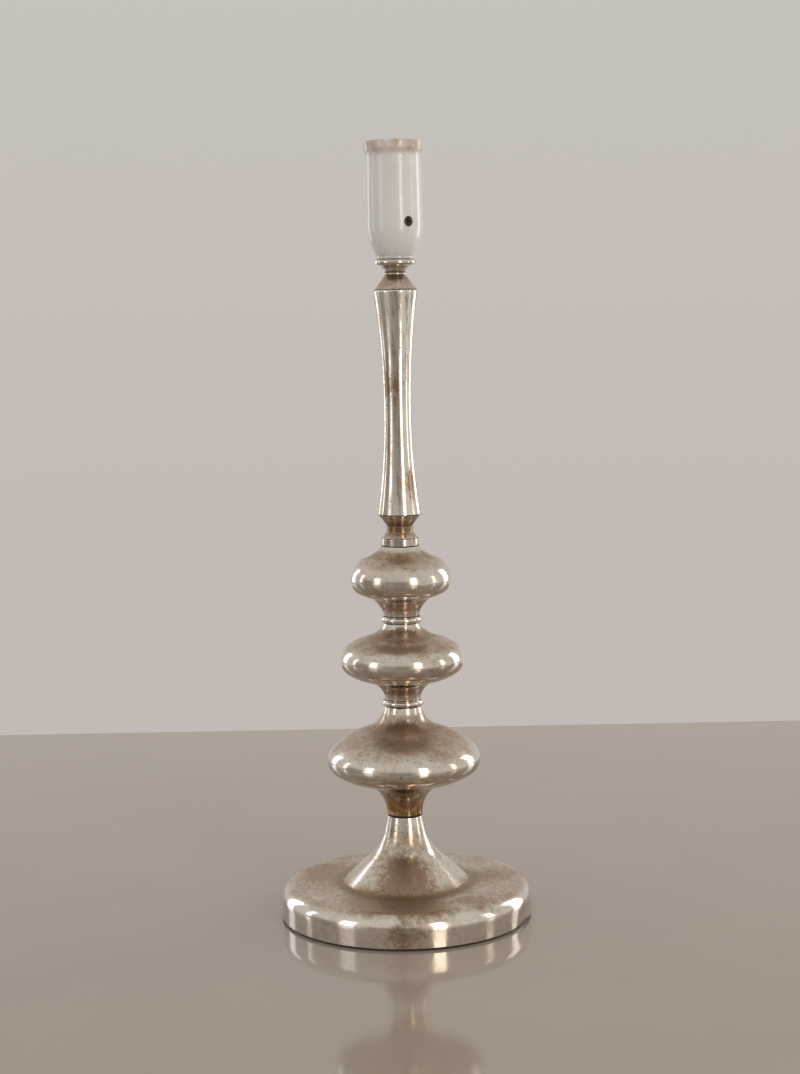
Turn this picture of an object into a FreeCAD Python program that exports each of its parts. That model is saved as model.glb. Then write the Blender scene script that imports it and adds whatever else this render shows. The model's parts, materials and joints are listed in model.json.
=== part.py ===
import FreeCAD, Part
import math
import os

# Candlestick lamp: turned and spun brass pieces, silver plated, stacked on a threaded
# tube between a weighted base and a slim moulded E14 lampholder with an empty socket.
# Millimetres. Origin at the centre of the footprint on the table, +Z up, front along -Y.

# ---------------------------------------------------------------- driving dimensions
# Weighted base
FELT_THICKNESS = 1.2
FELT_INSET = 0.7                # of the felt's edge inside the shell's
BASE_RADIUS = 64.2
BASE_WALL = 0.9
BASE_RIM_HEIGHT = 17.0          # shell edge to the top of the rolled rim
BASE_SHOULDER = 11.5            # radius of the roll between side and top
BASE_VALLEY_DEPTH = 0.9         # how far the top dips inside the rim
BASE_FLANK_FOOT = 33.5          # radius where the bell starts to rise
BASE_FLANK_FILLET = 5.0
BASE_FLANK_ANGLE = 43.0         # rise of the bell above its foot, from level
BASE_BELL_COVE = 48.0           # hollow curve from the flank to the neck
BASE_NECK_TAPER = 12.5          # lean of the neck from upright
BASE_NECK_RADIUS = 9.06
BASE_NECK_HEIGHT = 51.0         # shell edge to the top of the neck

PLATE_THICKNESS = 1.5
PLATE_CLEARANCE = 0.3           # between the bottom plate and the shell around it
PLATE_SCREW_CIRCLE = 42.0
PLATE_SCREW_COUNT = 3
PLATE_SCREW_TURN = 30.0         # of the first screw from +X
PLATE_SCREW_RADIUS = 1.5
PLATE_SCREW_LENGTH = 8.0
PLATE_SCREW_HEAD_RADIUS = 2.75
PLATE_SCREW_HEAD_HEIGHT = 1.2

WEIGHT_SIDE_GAP = 0.5           # between the casting and the shell around it
WEIGHT_TOP_GAP = 0.15
WEIGHT_EDGE_ROUND = 11.0
WEIGHT_RECESS_RADIUS = 18.0
WEIGHT_RECESS_DEPTH = 8.0
BOSS_FOOT_RADIUS = 16.0
BOSS_CLEARANCE = 0.5
CHANNEL_CLEARANCE = 0.5         # round the cord bush's inner lip

CORD_INLET_HEIGHT = 6.8         # above the table
CORD_BUSH_BORE = 2.8
CORD_BUSH_RADIUS = 3.4
CORD_BUSH_FLANGE_RADIUS = 4.3
CORD_BUSH_FLANGE = 1.4
CORD_BUSH_LIP_RADIUS = 3.8
CORD_BUSH_LIP = 1.0
CORD_BUSH_TAIL = 1.4
CORD_BUSH_SEAT = 0.1            # between its two shoulders and the shell's wall
CORD_HOLE_FIT = 0.1

# Threaded tube and its bottom fastening
TUBE_RADIUS = 4.0               # M8 x 1
TUBE_BORE = 2.9
TUBE_BELOW_NUT = 0.4
SLIDING_FIT = 0.1               # bores of the stacked pieces over the tube
THREAD_FIT = 0.05
WASHER_RADIUS = 9.0
WASHER_THICKNESS = 1.2
LOCK_WASHER_RADIUS = 7.2
LOCK_WASHER_THICKNESS = 1.2
LOCK_WASHER_GAP = 1.2
NUT_ACROSS_FLATS = 13.0
NUT_HEIGHT = 4.0

# Rings between the hollow pieces
SPIGOT_FIT = 0.1
SPIGOT_HEIGHT = 3.0
GAP_RING_RADIUS = 8.5
GAP_RING_HEIGHT = 1.0
LOWER_BEAD_RADIUS = 10.75
UPPER_BEAD_RADIUS = 10.6
BEAD_HEIGHT = 3.3
COLLAR_RADIUS = 9.5
COLLAR_HEIGHT = 3.7
COLLAR_EDGE = 0.3

# Knops: equator radius, reach below and above it, neck radii, and for each half the
# rim arc, the angle it turns through, the shoulder arc and the hollow cove at the neck
KNOP_WALL = 0.8
LOWER_KNOP = {
    "equator": 39.1, "below": 27.7, "above": 28.5, "neck_below": 9.07, "neck_above": 9.35,
    "under": {"rim": 6.5, "turn": 54.0, "shoulder": 31.0, "cove": 17.0},
    "over": {"rim": 9.2, "turn": 44.0, "shoulder": 38.0, "cove": 15.0},
}
MIDDLE_KNOP = {
    "equator": 31.8, "below": 20.4, "above": 19.2, "neck_below": 8.8, "neck_above": 9.1,
    "under": {"rim": 7.8, "turn": 56.0, "shoulder": 27.0, "cove": 12.0},
    "over": {"rim": 8.8, "turn": 54.0, "shoulder": 26.0, "cove": 14.0},
}
UPPER_KNOP = {
    "equator": 26.2, "below": 18.7, "above": 17.4, "neck_below": 9.0, "neck_above": 9.45,
    "under": {"rim": 7.6, "turn": 60.0, "shoulder": 25.0, "cove": 12.5},
    "over": {"rim": 11.0, "turn": 47.0, "shoulder": 13.7, "cove": 16.5},
}

# Waisted shaft with its foot and cap
FOOT_HEIGHT = 12.2
FOOT_INSET = 0.3                # of the foot's edge inside the collar's
FOOT_BASE_LAND = 0.3
FOOT_WAIST_RADIUS = 6.65
FOOT_WAIST_LOW = 3.0
FOOT_WAIST_HIGH = 6.7
FOOT_WAIST_ROUND = 1.6
FOOT_SPIGOT_HEIGHT = 4.0
SHAFT_FOOT_RADIUS = 11.35
SHAFT_WAIST_RADIUS = 7.05
SHAFT_TOP_RADIUS = 11.3
SHAFT_BELOW_WAIST = 52.9
SHAFT_ABOVE_WAIST = 59.9
SHAFT_WALL = 0.8
SHAFT_TOP_ROUND = 1.2
SHAFT_TOP_HOLE = 8.0
CAP_INSET = 0.55                # of the cone's edge inside the shaft's
CAP_CONE_HEIGHT = 7.0
CAP_NECK_RADIUS = 5.4
CAP_BEAD_RADIUS = 5.55
CAP_BEAD_HEIGHT = 1.4
CAP_HEIGHT = 8.7
CAP_SPIGOT_HEIGHT = 3.0
DISH_RADIUS = 10.6
DISH_RIM_HEIGHT = 3.2
DISH_HEIGHT = 6.3
DISH_FOOT_RADIUS = 5.1
DISH_BOWL_RADIUS = 6.95
DISH_BOWL_ROUND = 1.5
DISH_BOWL_LAND = 0.3

# Lampholder housing
HOUSING_HEIGHT = 58.0
HOUSING_FOOT_RADIUS = 9.2
HOUSING_FOOT_LAND = 1.4
HOUSING_SWELL = 30.0            # radius of the curve from the foot to the body
HOUSING_BODY_RADIUS = 14.1
HOUSING_WAIST_RADIUS = 13.7     # just under the lip
HOUSING_LIP_RADIUS = 14.95
HOUSING_LIP_HEIGHT = 5.8
HOUSING_LIP_FLARE = 2.9
HOUSING_EDGE = 0.9
HOUSING_WALL = 1.7              # at the waist, round the open socket
CHAMBER_RADIUS = 9.8            # wiring chamber under the contact block
CHAMBER_FLOOR = 9.8             # thickness of the solid foot
LEDGE_HEIGHT = 23.8             # seat of the contact block, above the housing's foot
ENTRY_FLOOR = 1.0
ENTRY_BUSH_RADIUS = 6.8
ENTRY_BUSH_HEIGHT = 8.4
TUBE_IN_BUSH = 7.8

SIDE_HOLE_HEIGHT = 18.0         # retaining-screw holes, above the housing's foot
SIDE_HOLE_ANGLE = 31.0          # right of the front, for the hole that shows
COUNTERBORE_RADIUS = 2.55
COUNTERBORE_FLOOR = 11.7        # distance of its floor from the lamp's axis
SIDE_HOLE_RADIUS = 1.55
RETAINING_SCREW_RADIUS = 1.25
RETAINING_SCREW_REACH = 5.5     # distance of its tip from the axis
RETAINING_HEAD_RADIUS = 2.3
RETAINING_HEAD_HEIGHT = 1.5

# Socket inside
BLOCK_FIT = 0.2
BLOCK_FLANGE = 5.2
BLOCK_DEPTH = 8.0               # plug of the block below its flange
SHELL_MINOR = 6.185             # E14 holder thread, inside radii and pitch
SHELL_MAJOR = 6.985
SHELL_PITCH = 2.822
SHELL_TURNS = 7
SHELL_SKIRT = 3.8               # plain sleeve from the block to the first turn
SHELL_LAND = 0.7
SHELL_WALL = 0.35
SHELL_FLANGE_GAP = 0.8          # between its flange and the housing
SHELL_SCREW_RADIUS = 1.1
SHELL_SCREW_LENGTH = 4.0
SHELL_SCREW_HEAD_RADIUS = 1.6
SHELL_SCREW_HEAD_HEIGHT = 1.2

STRIP_THICKNESS = 0.4
STRIP_WIDTH = 3.6
STRIP_ROOT_END = -5.6
STRIP_BEND = -2.4
STRIP_BEND_GAP = 0.15
STRIP_RISE_ANGLE = 20.0
STRIP_ARM_LENGTH = 3.9
STRIP_TIP_RADIUS = 0.9
RIVET_RADIUS = 0.8
RIVET_HEAD_RADIUS = 1.2
RIVET_HEAD_HEIGHT = 0.5
RIVET_PLACE = -4.0

TERMINAL_WIDTH = 4.8
TERMINAL_PLATE = 1.2
TERMINAL_DEPTH = 5.0
TERMINAL_INNER = 2.4
TERMINAL_BODY_INNER = 5.4
TERMINAL_OUTER = 8.6
WIRE_HOLE_RADIUS = 0.9
STRAP_THICKNESS = 0.8
STRAP_WIDTH = 3.6
STRAP_INSET = 0.5               # from the terminal's outer end
STRAP_FIT = 0.1
TERMINAL_SCREW_RADIUS = 1.0
TERMINAL_SCREW_LENGTH = 1.6
TERMINAL_HEAD_RADIUS = 1.5
TERMINAL_HEAD_HEIGHT = 1.4
TERMINAL_SCREW_DROP = 3.2       # below the contact block

BACK = 180.0                    # the back, as an angle from the front

# ---------------------------------------------------------------- drawing aids
MID_ROUND = math.sqrt(0.5)      # half-way point of a quarter round, as a share of its radius
ROUNDING_SHARE = 0.49           # most of a side that one corner's rounding may use
TOUCHING = 1e-6                 # points nearer than this are one point

# ---------------------------------------------------------------- radii and heights that follow
PLATE_BOTTOM = FELT_THICKNESS
PLATE_TOP = PLATE_BOTTOM + PLATE_THICKNESS
BASE_RIM_TOP = FELT_THICKNESS + BASE_RIM_HEIGHT
BASE_VALLEY = BASE_RIM_TOP - BASE_VALLEY_DEPTH
BASE_NECK_TOP = FELT_THICKNESS + BASE_NECK_HEIGHT
WEIGHT_TOP = BASE_VALLEY - BASE_WALL - WEIGHT_TOP_GAP
BOSS_TOP = BASE_NECK_TOP - SPIGOT_HEIGHT
LOWER_KNOP_FOOT = BASE_NECK_TOP + GAP_RING_HEIGHT
LOWER_KNOP_TOP = LOWER_KNOP_FOOT + LOWER_KNOP["below"] + LOWER_KNOP["above"]
MIDDLE_KNOP_FOOT = LOWER_KNOP_TOP + BEAD_HEIGHT
MIDDLE_KNOP_TOP = MIDDLE_KNOP_FOOT + MIDDLE_KNOP["below"] + MIDDLE_KNOP["above"]
UPPER_KNOP_FOOT = MIDDLE_KNOP_TOP + BEAD_HEIGHT
UPPER_KNOP_TOP = UPPER_KNOP_FOOT + UPPER_KNOP["below"] + UPPER_KNOP["above"]
FOOT_BOTTOM = UPPER_KNOP_TOP + COLLAR_HEIGHT
SHAFT_BOTTOM = FOOT_BOTTOM + FOOT_HEIGHT
SHAFT_WAIST = SHAFT_BOTTOM + SHAFT_BELOW_WAIST
SHAFT_TOP = SHAFT_WAIST + SHAFT_ABOVE_WAIST
CAP_TOP = SHAFT_TOP + CAP_HEIGHT
HOUSING_BOTTOM = CAP_TOP + DISH_HEIGHT
HOUSING_TOP = HOUSING_BOTTOM + HOUSING_HEIGHT
CHAMBER_BOTTOM = HOUSING_BOTTOM + CHAMBER_FLOOR
LEDGE = HOUSING_BOTTOM + LEDGE_HEIGHT
BLOCK_TOP = LEDGE + BLOCK_FLANGE
BLOCK_BOTTOM = LEDGE - BLOCK_DEPTH
RECESS_ROOF = PLATE_TOP + WEIGHT_RECESS_DEPTH
WASHER_BOTTOM = RECESS_ROOF - WASHER_THICKNESS
LOCK_WASHER_BOTTOM = WASHER_BOTTOM - LOCK_WASHER_THICKNESS
NUT_BOTTOM = LOCK_WASHER_BOTTOM - NUT_HEIGHT
STACK_BORE = TUBE_RADIUS + SLIDING_FIT
SOCKET_RADIUS = HOUSING_WAIST_RADIUS - HOUSING_WALL
SHELL_FLANGE_RADIUS = SOCKET_RADIUS - SHELL_FLANGE_GAP
SHELL_SCREW_CIRCLE = (SHELL_MAJOR + SHELL_WALL + SHELL_FLANGE_RADIUS) / 2


# ---------------------------------------------------------------- outlines and turning
class Via:
    """A point that bends the side it stands on into an arc."""

    def __init__(self, r, z):
        self.place = (r, z)


def vector(place):
    return FreeCAD.Vector(place[0], 0, place[1])


def rounded_corner(before, corner, after, radius):
    """Start, middle and end of the arc that rounds a corner, kept within its sides."""
    here = vector(corner)
    back = vector(before) - here
    ahead = vector(after) - here
    half_angle = back.getAngle(ahead) / 2
    longest = ROUNDING_SHARE * min(back.Length, ahead.Length)
    reach = min(radius / math.tan(half_angle), longest)
    back.normalize()
    ahead.normalize()
    inward = back + ahead
    inward.normalize()
    to_middle = reach / math.cos(half_angle) - reach * math.tan(half_angle)
    return here + back * reach, here + inward * to_middle, here + ahead * reach


def outline_wire(path):
    """Closed wire through corners; a third number on a corner is its rounding."""
    corners = []
    bends = []
    for item in path:
        if isinstance(item, Via):
            bends[-1] = item.place
        else:
            corners.append(item)
            bends.append(None)
    count = len(corners)
    arrive = []
    leave = []
    edges = []
    for i, corner in enumerate(corners):
        if len(corner) == 3:
            before = corners[i - 1]
            after = corners[(i + 1) % count]
            start, middle, end = rounded_corner(before, corner, after, corner[2])
            edges.append(Part.Arc(start, middle, end).toShape())
        else:
            start = end = vector(corner)
        arrive.append(start)
        leave.append(end)
    for i, bend in enumerate(bends):
        start = leave[i]
        end = arrive[(i + 1) % count]
        if bend:
            edges.append(Part.Arc(start, vector(bend), end).toShape())
        elif start.distanceToPoint(end) > TOUCHING:
            edges.append(Part.makeLine(start, end))
    return Part.Wire(Part.__sortEdges__(edges))


def turned(path):
    """Solid of revolution about Z."""
    face = Part.Face(outline_wire(path))
    solid = face.revolve(FreeCAD.Vector(0, 0, 0), FreeCAD.Vector(0, 0, 1), 360)
    return solid


def cylinder(radius, bottom, top, x=0.0, y=0.0):
    return Part.makeCylinder(radius, top - bottom, FreeCAD.Vector(x, y, bottom))


def radial_cylinder(radius, inner, outer, height, angle):
    """Cylinder lying along a radius; angle is measured to the right of the front."""
    turn = math.radians(angle)
    outward = FreeCAD.Vector(math.sin(turn), -math.cos(turn), 0)
    start = outward * inner + FreeCAD.Vector(0, 0, height)
    return Part.makeCylinder(radius, outer - inner, start, outward)


def box(x_low, x_high, y_low, y_high, z_low, z_high):
    corner = FreeCAD.Vector(x_low, y_low, z_low)
    return Part.makeBox(x_high - x_low, y_high - y_low, z_high - z_low, corner)


def on_arc(centre, radius, angle):
    return (centre[0] + radius * math.cos(angle), centre[1] + radius * math.sin(angle))


# ---------------------------------------------------------------- knops
def knop_arcs(half, equator, reach, neck):
    """Centres of a half knop's three arcs, and the angle where shoulder turns to cove.

    Heights count from the equator. The rim arc meets the shoulder arc after its turn, and
    the hollow cove touches the shoulder and passes through the neck's end.
    """
    turn = math.radians(half["turn"])
    rim_centre = (equator - half["rim"], 0.0)
    shoulder_centre = on_arc(rim_centre, half["rim"] - half["shoulder"], turn)
    across = neck - shoulder_centre[0]
    along = reach - shoulder_centre[1]
    span = math.hypot(across, along)
    both = half["shoulder"] + half["cove"]
    near = (span ** 2 + both ** 2 - half["cove"] ** 2) / (2 * span)
    swing = math.atan2(along, across) - math.acos(near / both)
    return rim_centre, shoulder_centre, on_arc(shoulder_centre, both, swing), swing


def half_knop(half, equator, reach, neck, wall):
    """Line from the neck's end to the equator; a wall keeps the three centres."""
    rim_centre, shoulder_centre, cove_centre, swing = knop_arcs(half, equator, reach, neck)
    turn = math.radians(half["turn"])
    cove = half["cove"] + wall
    end_angle = math.pi - math.asin((reach - cove_centre[1]) / cove)
    touch_angle = swing + math.pi
    shoulder = half["shoulder"] - wall
    rim = half["rim"] - wall
    return [
        on_arc(cove_centre, cove, end_angle),
        Via(*on_arc(cove_centre, cove, (end_angle + touch_angle) / 2)),
        on_arc(cove_centre, cove, touch_angle),
        Via(*on_arc(shoulder_centre, shoulder, (swing + turn) / 2)),
        on_arc(rim_centre, rim, turn),
        Via(*on_arc(rim_centre, rim, turn / 2)),
        (equator - wall, 0.0),
    ]


def placed(path, level, direction):
    """Move a half knop to its level, upright or hanging."""
    moved = []
    for item in path:
        if isinstance(item, Via):
            moved.append(Via(item.place[0], level + direction * item.place[1]))
        else:
            moved.append((item[0], level + direction * item[1]))
    return moved


def knop_side(knop, foot, wall):
    """The knop's wall line from its lower neck to its upper one."""
    level = foot + knop["below"]
    under = half_knop(knop["under"], knop["equator"], knop["below"], knop["neck_below"], wall)
    over = half_knop(knop["over"], knop["equator"], knop["above"], knop["neck_above"], wall)
    rising = placed(under, level, -1)
    falling = placed(over, level, 1)
    return rising + falling[-2::-1]


def knop_shell(knop, foot):
    outer = knop_side(knop, foot, 0.0)
    inner = knop_side(knop, foot, KNOP_WALL)
    return turned(outer + inner[::-1])


def knop_bore(knop, side, reach, neck):
    """Narrowest inside radius of a neck over the length that a spigot fills."""
    cove_centre = knop_arcs(knop[side], knop["equator"], knop[reach], knop[neck])[2]
    spigot_end = knop[reach] - SPIGOT_HEIGHT
    narrowest = min(max(cove_centre[1], spigot_end), knop[reach])
    cove = knop[side]["cove"] + KNOP_WALL
    return cove_centre[0] - math.sqrt(cove ** 2 - (narrowest - cove_centre[1]) ** 2)


def bore_below(knop):
    return knop_bore(knop, "under", "below", "neck_below")


def bore_above(knop):
    return knop_bore(knop, "over", "above", "neck_above")


# ---------------------------------------------------------------- base
def base_side(wall):
    """Line of the base shell from its lower edge to its neck, moved in by the wall."""
    lean = math.radians(BASE_NECK_TAPER)
    rise = math.radians(BASE_FLANK_ANGLE)
    neck_r = BASE_NECK_RADIUS - wall / math.cos(lean)
    foot_r = BASE_FLANK_FOOT - wall * math.tan(rise / 2)
    valley = BASE_VALLEY - wall
    # flank and neck lines cross where the bell's cove is drawn
    gap_r = foot_r - neck_r
    gap_z = BASE_NECK_TOP - valley
    down = (gap_z * math.cos(rise) - gap_r * math.sin(rise)) / math.cos(lean + rise)
    cross = (neck_r + down * math.sin(lean), BASE_NECK_TOP - down * math.cos(lean))
    return [
        (BASE_RADIUS - wall, FELT_THICKNESS),
        (BASE_RADIUS - wall, BASE_RIM_TOP - wall, BASE_SHOULDER - wall),
        (foot_r, valley, BASE_FLANK_FILLET + wall),
        (cross[0], cross[1], BASE_BELL_COVE + wall),
        (neck_r, BASE_NECK_TOP),
    ]


def base_shell():
    shell = turned(base_side(0.0) + base_side(BASE_WALL)[::-1])
    hole = radial_cylinder(CORD_BUSH_RADIUS + CORD_HOLE_FIT, BASE_FLANK_FOOT,
                           BASE_RADIUS + BASE_WALL, CORD_INLET_HEIGHT, BACK)
    return shell.cut(hole)


def plate_screw_places():
    step = 360.0 / PLATE_SCREW_COUNT
    angles = [math.radians(PLATE_SCREW_TURN + step * i) for i in range(PLATE_SCREW_COUNT)]
    return [(PLATE_SCREW_CIRCLE * math.cos(a), PLATE_SCREW_CIRCLE * math.sin(a)) for a in angles]


def base_weight():
    """Cast disc with a boss up to the neck, a nut recess below and a channel for the cord."""
    outer = BASE_RADIUS - BASE_WALL - WEIGHT_SIDE_GAP
    boss_top_radius = BASE_NECK_RADIUS - BASE_WALL - BOSS_CLEARANCE
    body = turned([
        (STACK_BORE, RECESS_ROOF),
        (WEIGHT_RECESS_RADIUS, RECESS_ROOF),
        (WEIGHT_RECESS_RADIUS, PLATE_TOP),
        (outer, PLATE_TOP),
        (outer, WEIGHT_TOP, WEIGHT_EDGE_ROUND),
        (BOSS_FOOT_RADIUS, WEIGHT_TOP),
        (boss_top_radius, BOSS_TOP),
        (STACK_BORE, BOSS_TOP),
    ])
    half = CORD_BUSH_LIP_RADIUS + CHANNEL_CLEARANCE
    channel = box(-half, half, 0, BASE_RADIUS, PLATE_TOP, CORD_INLET_HEIGHT + half)
    body = body.cut(channel)
    for x, y in plate_screw_places():
        depth = PLATE_TOP + PLATE_SCREW_LENGTH
        body = body.cut(cylinder(PLATE_SCREW_RADIUS + THREAD_FIT, PLATE_BOTTOM, depth, x, y))
    return body


def countersunk(x, y, grow):
    """Countersunk head and shank, grown by a clearance for the hole in the plate."""
    head = Part.makeCone(PLATE_SCREW_HEAD_RADIUS + grow, PLATE_SCREW_RADIUS + grow,
                         PLATE_SCREW_HEAD_HEIGHT, FreeCAD.Vector(x, y, PLATE_BOTTOM))
    shank = cylinder(PLATE_SCREW_RADIUS + grow, PLATE_BOTTOM + PLATE_SCREW_HEAD_HEIGHT,
                     PLATE_BOTTOM + PLATE_SCREW_LENGTH, x, y)
    return head.fuse(shank).removeSplitter()


def bottom_plate():
    plate = cylinder(BASE_RADIUS - BASE_WALL - PLATE_CLEARANCE, PLATE_BOTTOM, PLATE_TOP)
    for x, y in plate_screw_places():
        plate = plate.cut(countersunk(x, y, THREAD_FIT))
    return plate


def plate_screws():
    return Part.makeCompound([countersunk(x, y, 0.0) for x, y in plate_screw_places()])


def cord_bush():
    """Flanged bush pushed through the back of the shell, turned about the cord's line."""
    back = BASE_RADIUS + CORD_BUSH_SEAT
    half_lip = math.asin(CORD_BUSH_LIP_RADIUS / (BASE_RADIUS - BASE_WALL))
    lip_front = (BASE_RADIUS - BASE_WALL) * math.cos(half_lip) - CORD_BUSH_SEAT
    lip_back = lip_front - CORD_BUSH_LIP
    tail = lip_back - CORD_BUSH_TAIL
    bush = turned([
        (CORD_BUSH_BORE, tail),
        (CORD_BUSH_RADIUS, tail),
        (CORD_BUSH_LIP_RADIUS, lip_back),
        (CORD_BUSH_LIP_RADIUS, lip_front),
        (CORD_BUSH_RADIUS, lip_front),
        (CORD_BUSH_RADIUS, back),
        (CORD_BUSH_FLANGE_RADIUS, back),
        (CORD_BUSH_FLANGE_RADIUS, back + CORD_BUSH_FLANGE, CORD_BUSH_FLANGE / 2),
        (CORD_BUSH_BORE, back + CORD_BUSH_FLANGE),
    ])
    bush.rotate(FreeCAD.Vector(0, 0, 0), FreeCAD.Vector(1, 0, 0), -90)
    bush.translate(FreeCAD.Vector(0, 0, CORD_INLET_HEIGHT))
    return bush


# ---------------------------------------------------------------- tube and its nut
def tie_tube():
    bottom = NUT_BOTTOM - TUBE_BELOW_NUT
    top = HOUSING_BOTTOM + ENTRY_FLOOR + TUBE_IN_BUSH
    return cylinder(TUBE_RADIUS, bottom, top).cut(cylinder(TUBE_BORE, bottom, top))


def flat_ring(outer, inner, bottom, top):
    return cylinder(outer, bottom, top).cut(cylinder(inner, bottom, top))


def lock_washer():
    ring = flat_ring(LOCK_WASHER_RADIUS, STACK_BORE, LOCK_WASHER_BOTTOM, WASHER_BOTTOM)
    slit = box(0, LOCK_WASHER_RADIUS, 0, LOCK_WASHER_GAP, LOCK_WASHER_BOTTOM, WASHER_BOTTOM)
    return ring.cut(slit)


def hex_nut():
    corner = NUT_ACROSS_FLATS / math.sqrt(3)
    points = [on_arc((0, 0), corner, i * math.pi / 3) for i in range(7)]
    wire = Part.makePolygon([FreeCAD.Vector(x, y, NUT_BOTTOM) for x, y in points])
    prism = Part.Face(wire).extrude(FreeCAD.Vector(0, 0, NUT_HEIGHT))
    bore = cylinder(TUBE_RADIUS + THREAD_FIT, NUT_BOTTOM, LOCK_WASHER_BOTTOM)
    return prism.cut(bore)


# ---------------------------------------------------------------- rings of the stack
def centring_ring(rim, bottom, top, lower_bore, upper_bore):
    """Ring between two hollow necks, with a spigot into each; rim is its outer line."""
    low = lower_bore - SPIGOT_FIT
    high = upper_bore - SPIGOT_FIT
    return turned([
        (STACK_BORE, bottom - SPIGOT_HEIGHT),
        (low, bottom - SPIGOT_HEIGHT),
        (low, bottom),
        *rim,
        (high, top),
        (high, top + SPIGOT_HEIGHT),
        (STACK_BORE, top + SPIGOT_HEIGHT),
    ])


def bead_rim(radius, bottom, top):
    half = (top - bottom) / 2
    return [
        (radius - half, bottom),
        Via(radius, bottom + half),
        (radius - half, top),
    ]


def base_neck_ring():
    rim = [(GAP_RING_RADIUS, BASE_NECK_TOP), (GAP_RING_RADIUS, LOWER_KNOP_FOOT)]
    neck_bore = base_side(BASE_WALL)[-1][0]
    return centring_ring(rim, BASE_NECK_TOP, LOWER_KNOP_FOOT, neck_bore, bore_below(LOWER_KNOP))


def bead_ring(radius, bottom, lower_knop, upper_knop):
    top = bottom + BEAD_HEIGHT
    rim = bead_rim(radius, bottom, top)
    return centring_ring(rim, bottom, top, bore_above(lower_knop), bore_below(upper_knop))


def shaft_collar():
    """Plain bright collar, with a spigot down into the upper knop."""
    low = bore_above(UPPER_KNOP) - SPIGOT_FIT
    return turned([
        (STACK_BORE, UPPER_KNOP_TOP - SPIGOT_HEIGHT),
        (low, UPPER_KNOP_TOP - SPIGOT_HEIGHT),
        (low, UPPER_KNOP_TOP),
        (COLLAR_RADIUS, UPPER_KNOP_TOP),
        (COLLAR_RADIUS, FOOT_BOTTOM, COLLAR_EDGE),
        (STACK_BORE, FOOT_BOTTOM),
    ])


# ---------------------------------------------------------------- shaft
def shaft_radius(end_radius, reach, along):
    """Outside radius at a distance from the waist, on the arc that ends at the reach."""
    rise = end_radius - SHAFT_WAIST_RADIUS
    arc = (reach ** 2 + rise ** 2) / (2 * rise)
    return SHAFT_WAIST_RADIUS + arc - math.copysign(math.sqrt(arc ** 2 - along ** 2), arc)


def shaft_foot():
    spigot_end = SHAFT_BELOW_WAIST - FOOT_SPIGOT_HEIGHT
    spigot_top = shaft_radius(SHAFT_FOOT_RADIUS, SHAFT_BELOW_WAIST, spigot_end)
    spigot = SHAFT_FOOT_RADIUS - SHAFT_WALL - SPIGOT_FIT
    foot_radius = COLLAR_RADIUS - FOOT_INSET
    return turned([
        (STACK_BORE, FOOT_BOTTOM),
        (foot_radius, FOOT_BOTTOM),
        (foot_radius, FOOT_BOTTOM + FOOT_BASE_LAND),
        (FOOT_WAIST_RADIUS, FOOT_BOTTOM + FOOT_WAIST_LOW, FOOT_WAIST_ROUND),
        (FOOT_WAIST_RADIUS, FOOT_BOTTOM + FOOT_WAIST_HIGH, FOOT_WAIST_ROUND),
        (SHAFT_FOOT_RADIUS - SPIGOT_FIT, SHAFT_BOTTOM),
        (spigot, SHAFT_BOTTOM),
        (spigot_top - SHAFT_WALL - SPIGOT_FIT, SHAFT_BOTTOM + FOOT_SPIGOT_HEIGHT),
        (STACK_BORE, SHAFT_BOTTOM + FOOT_SPIGOT_HEIGHT),
    ])


def waisted_shaft():
    """Hollow shaft: two arcs that meet upright at the waist, and a rolled-in top."""
    low_half = SHAFT_BELOW_WAIST / 2
    low_radius = shaft_radius(SHAFT_FOOT_RADIUS, SHAFT_BELOW_WAIST, low_half)
    high_reach = SHAFT_ABOVE_WAIST - SHAFT_TOP_ROUND
    high_radius = shaft_radius(SHAFT_TOP_RADIUS, high_reach, high_reach / 2)
    shoulder = SHAFT_TOP - SHAFT_TOP_ROUND
    roll = SHAFT_TOP_ROUND
    inner_roll = roll - SHAFT_WALL
    roll_radius = SHAFT_TOP_RADIUS - roll
    return turned([
        (SHAFT_FOOT_RADIUS, SHAFT_BOTTOM),
        Via(low_radius, SHAFT_WAIST - low_half),
        (SHAFT_WAIST_RADIUS, SHAFT_WAIST),
        Via(high_radius, SHAFT_WAIST + high_reach / 2),
        (SHAFT_TOP_RADIUS, shoulder),
        Via(roll_radius + roll * MID_ROUND, shoulder + roll * MID_ROUND),
        (roll_radius, SHAFT_TOP),
        (SHAFT_TOP_HOLE, SHAFT_TOP),
        (SHAFT_TOP_HOLE, SHAFT_TOP - SHAFT_WALL),
        (roll_radius, SHAFT_TOP - SHAFT_WALL),
        Via(roll_radius + inner_roll * MID_ROUND, shoulder + inner_roll * MID_ROUND),
        (SHAFT_TOP_RADIUS - SHAFT_WALL, shoulder),
        Via(high_radius - SHAFT_WALL, SHAFT_WAIST + high_reach / 2),
        (SHAFT_WAIST_RADIUS - SHAFT_WALL, SHAFT_WAIST),
        Via(low_radius - SHAFT_WALL, SHAFT_WAIST - low_half),
        (SHAFT_FOOT_RADIUS - SHAFT_WALL, SHAFT_BOTTOM),
    ])


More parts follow.
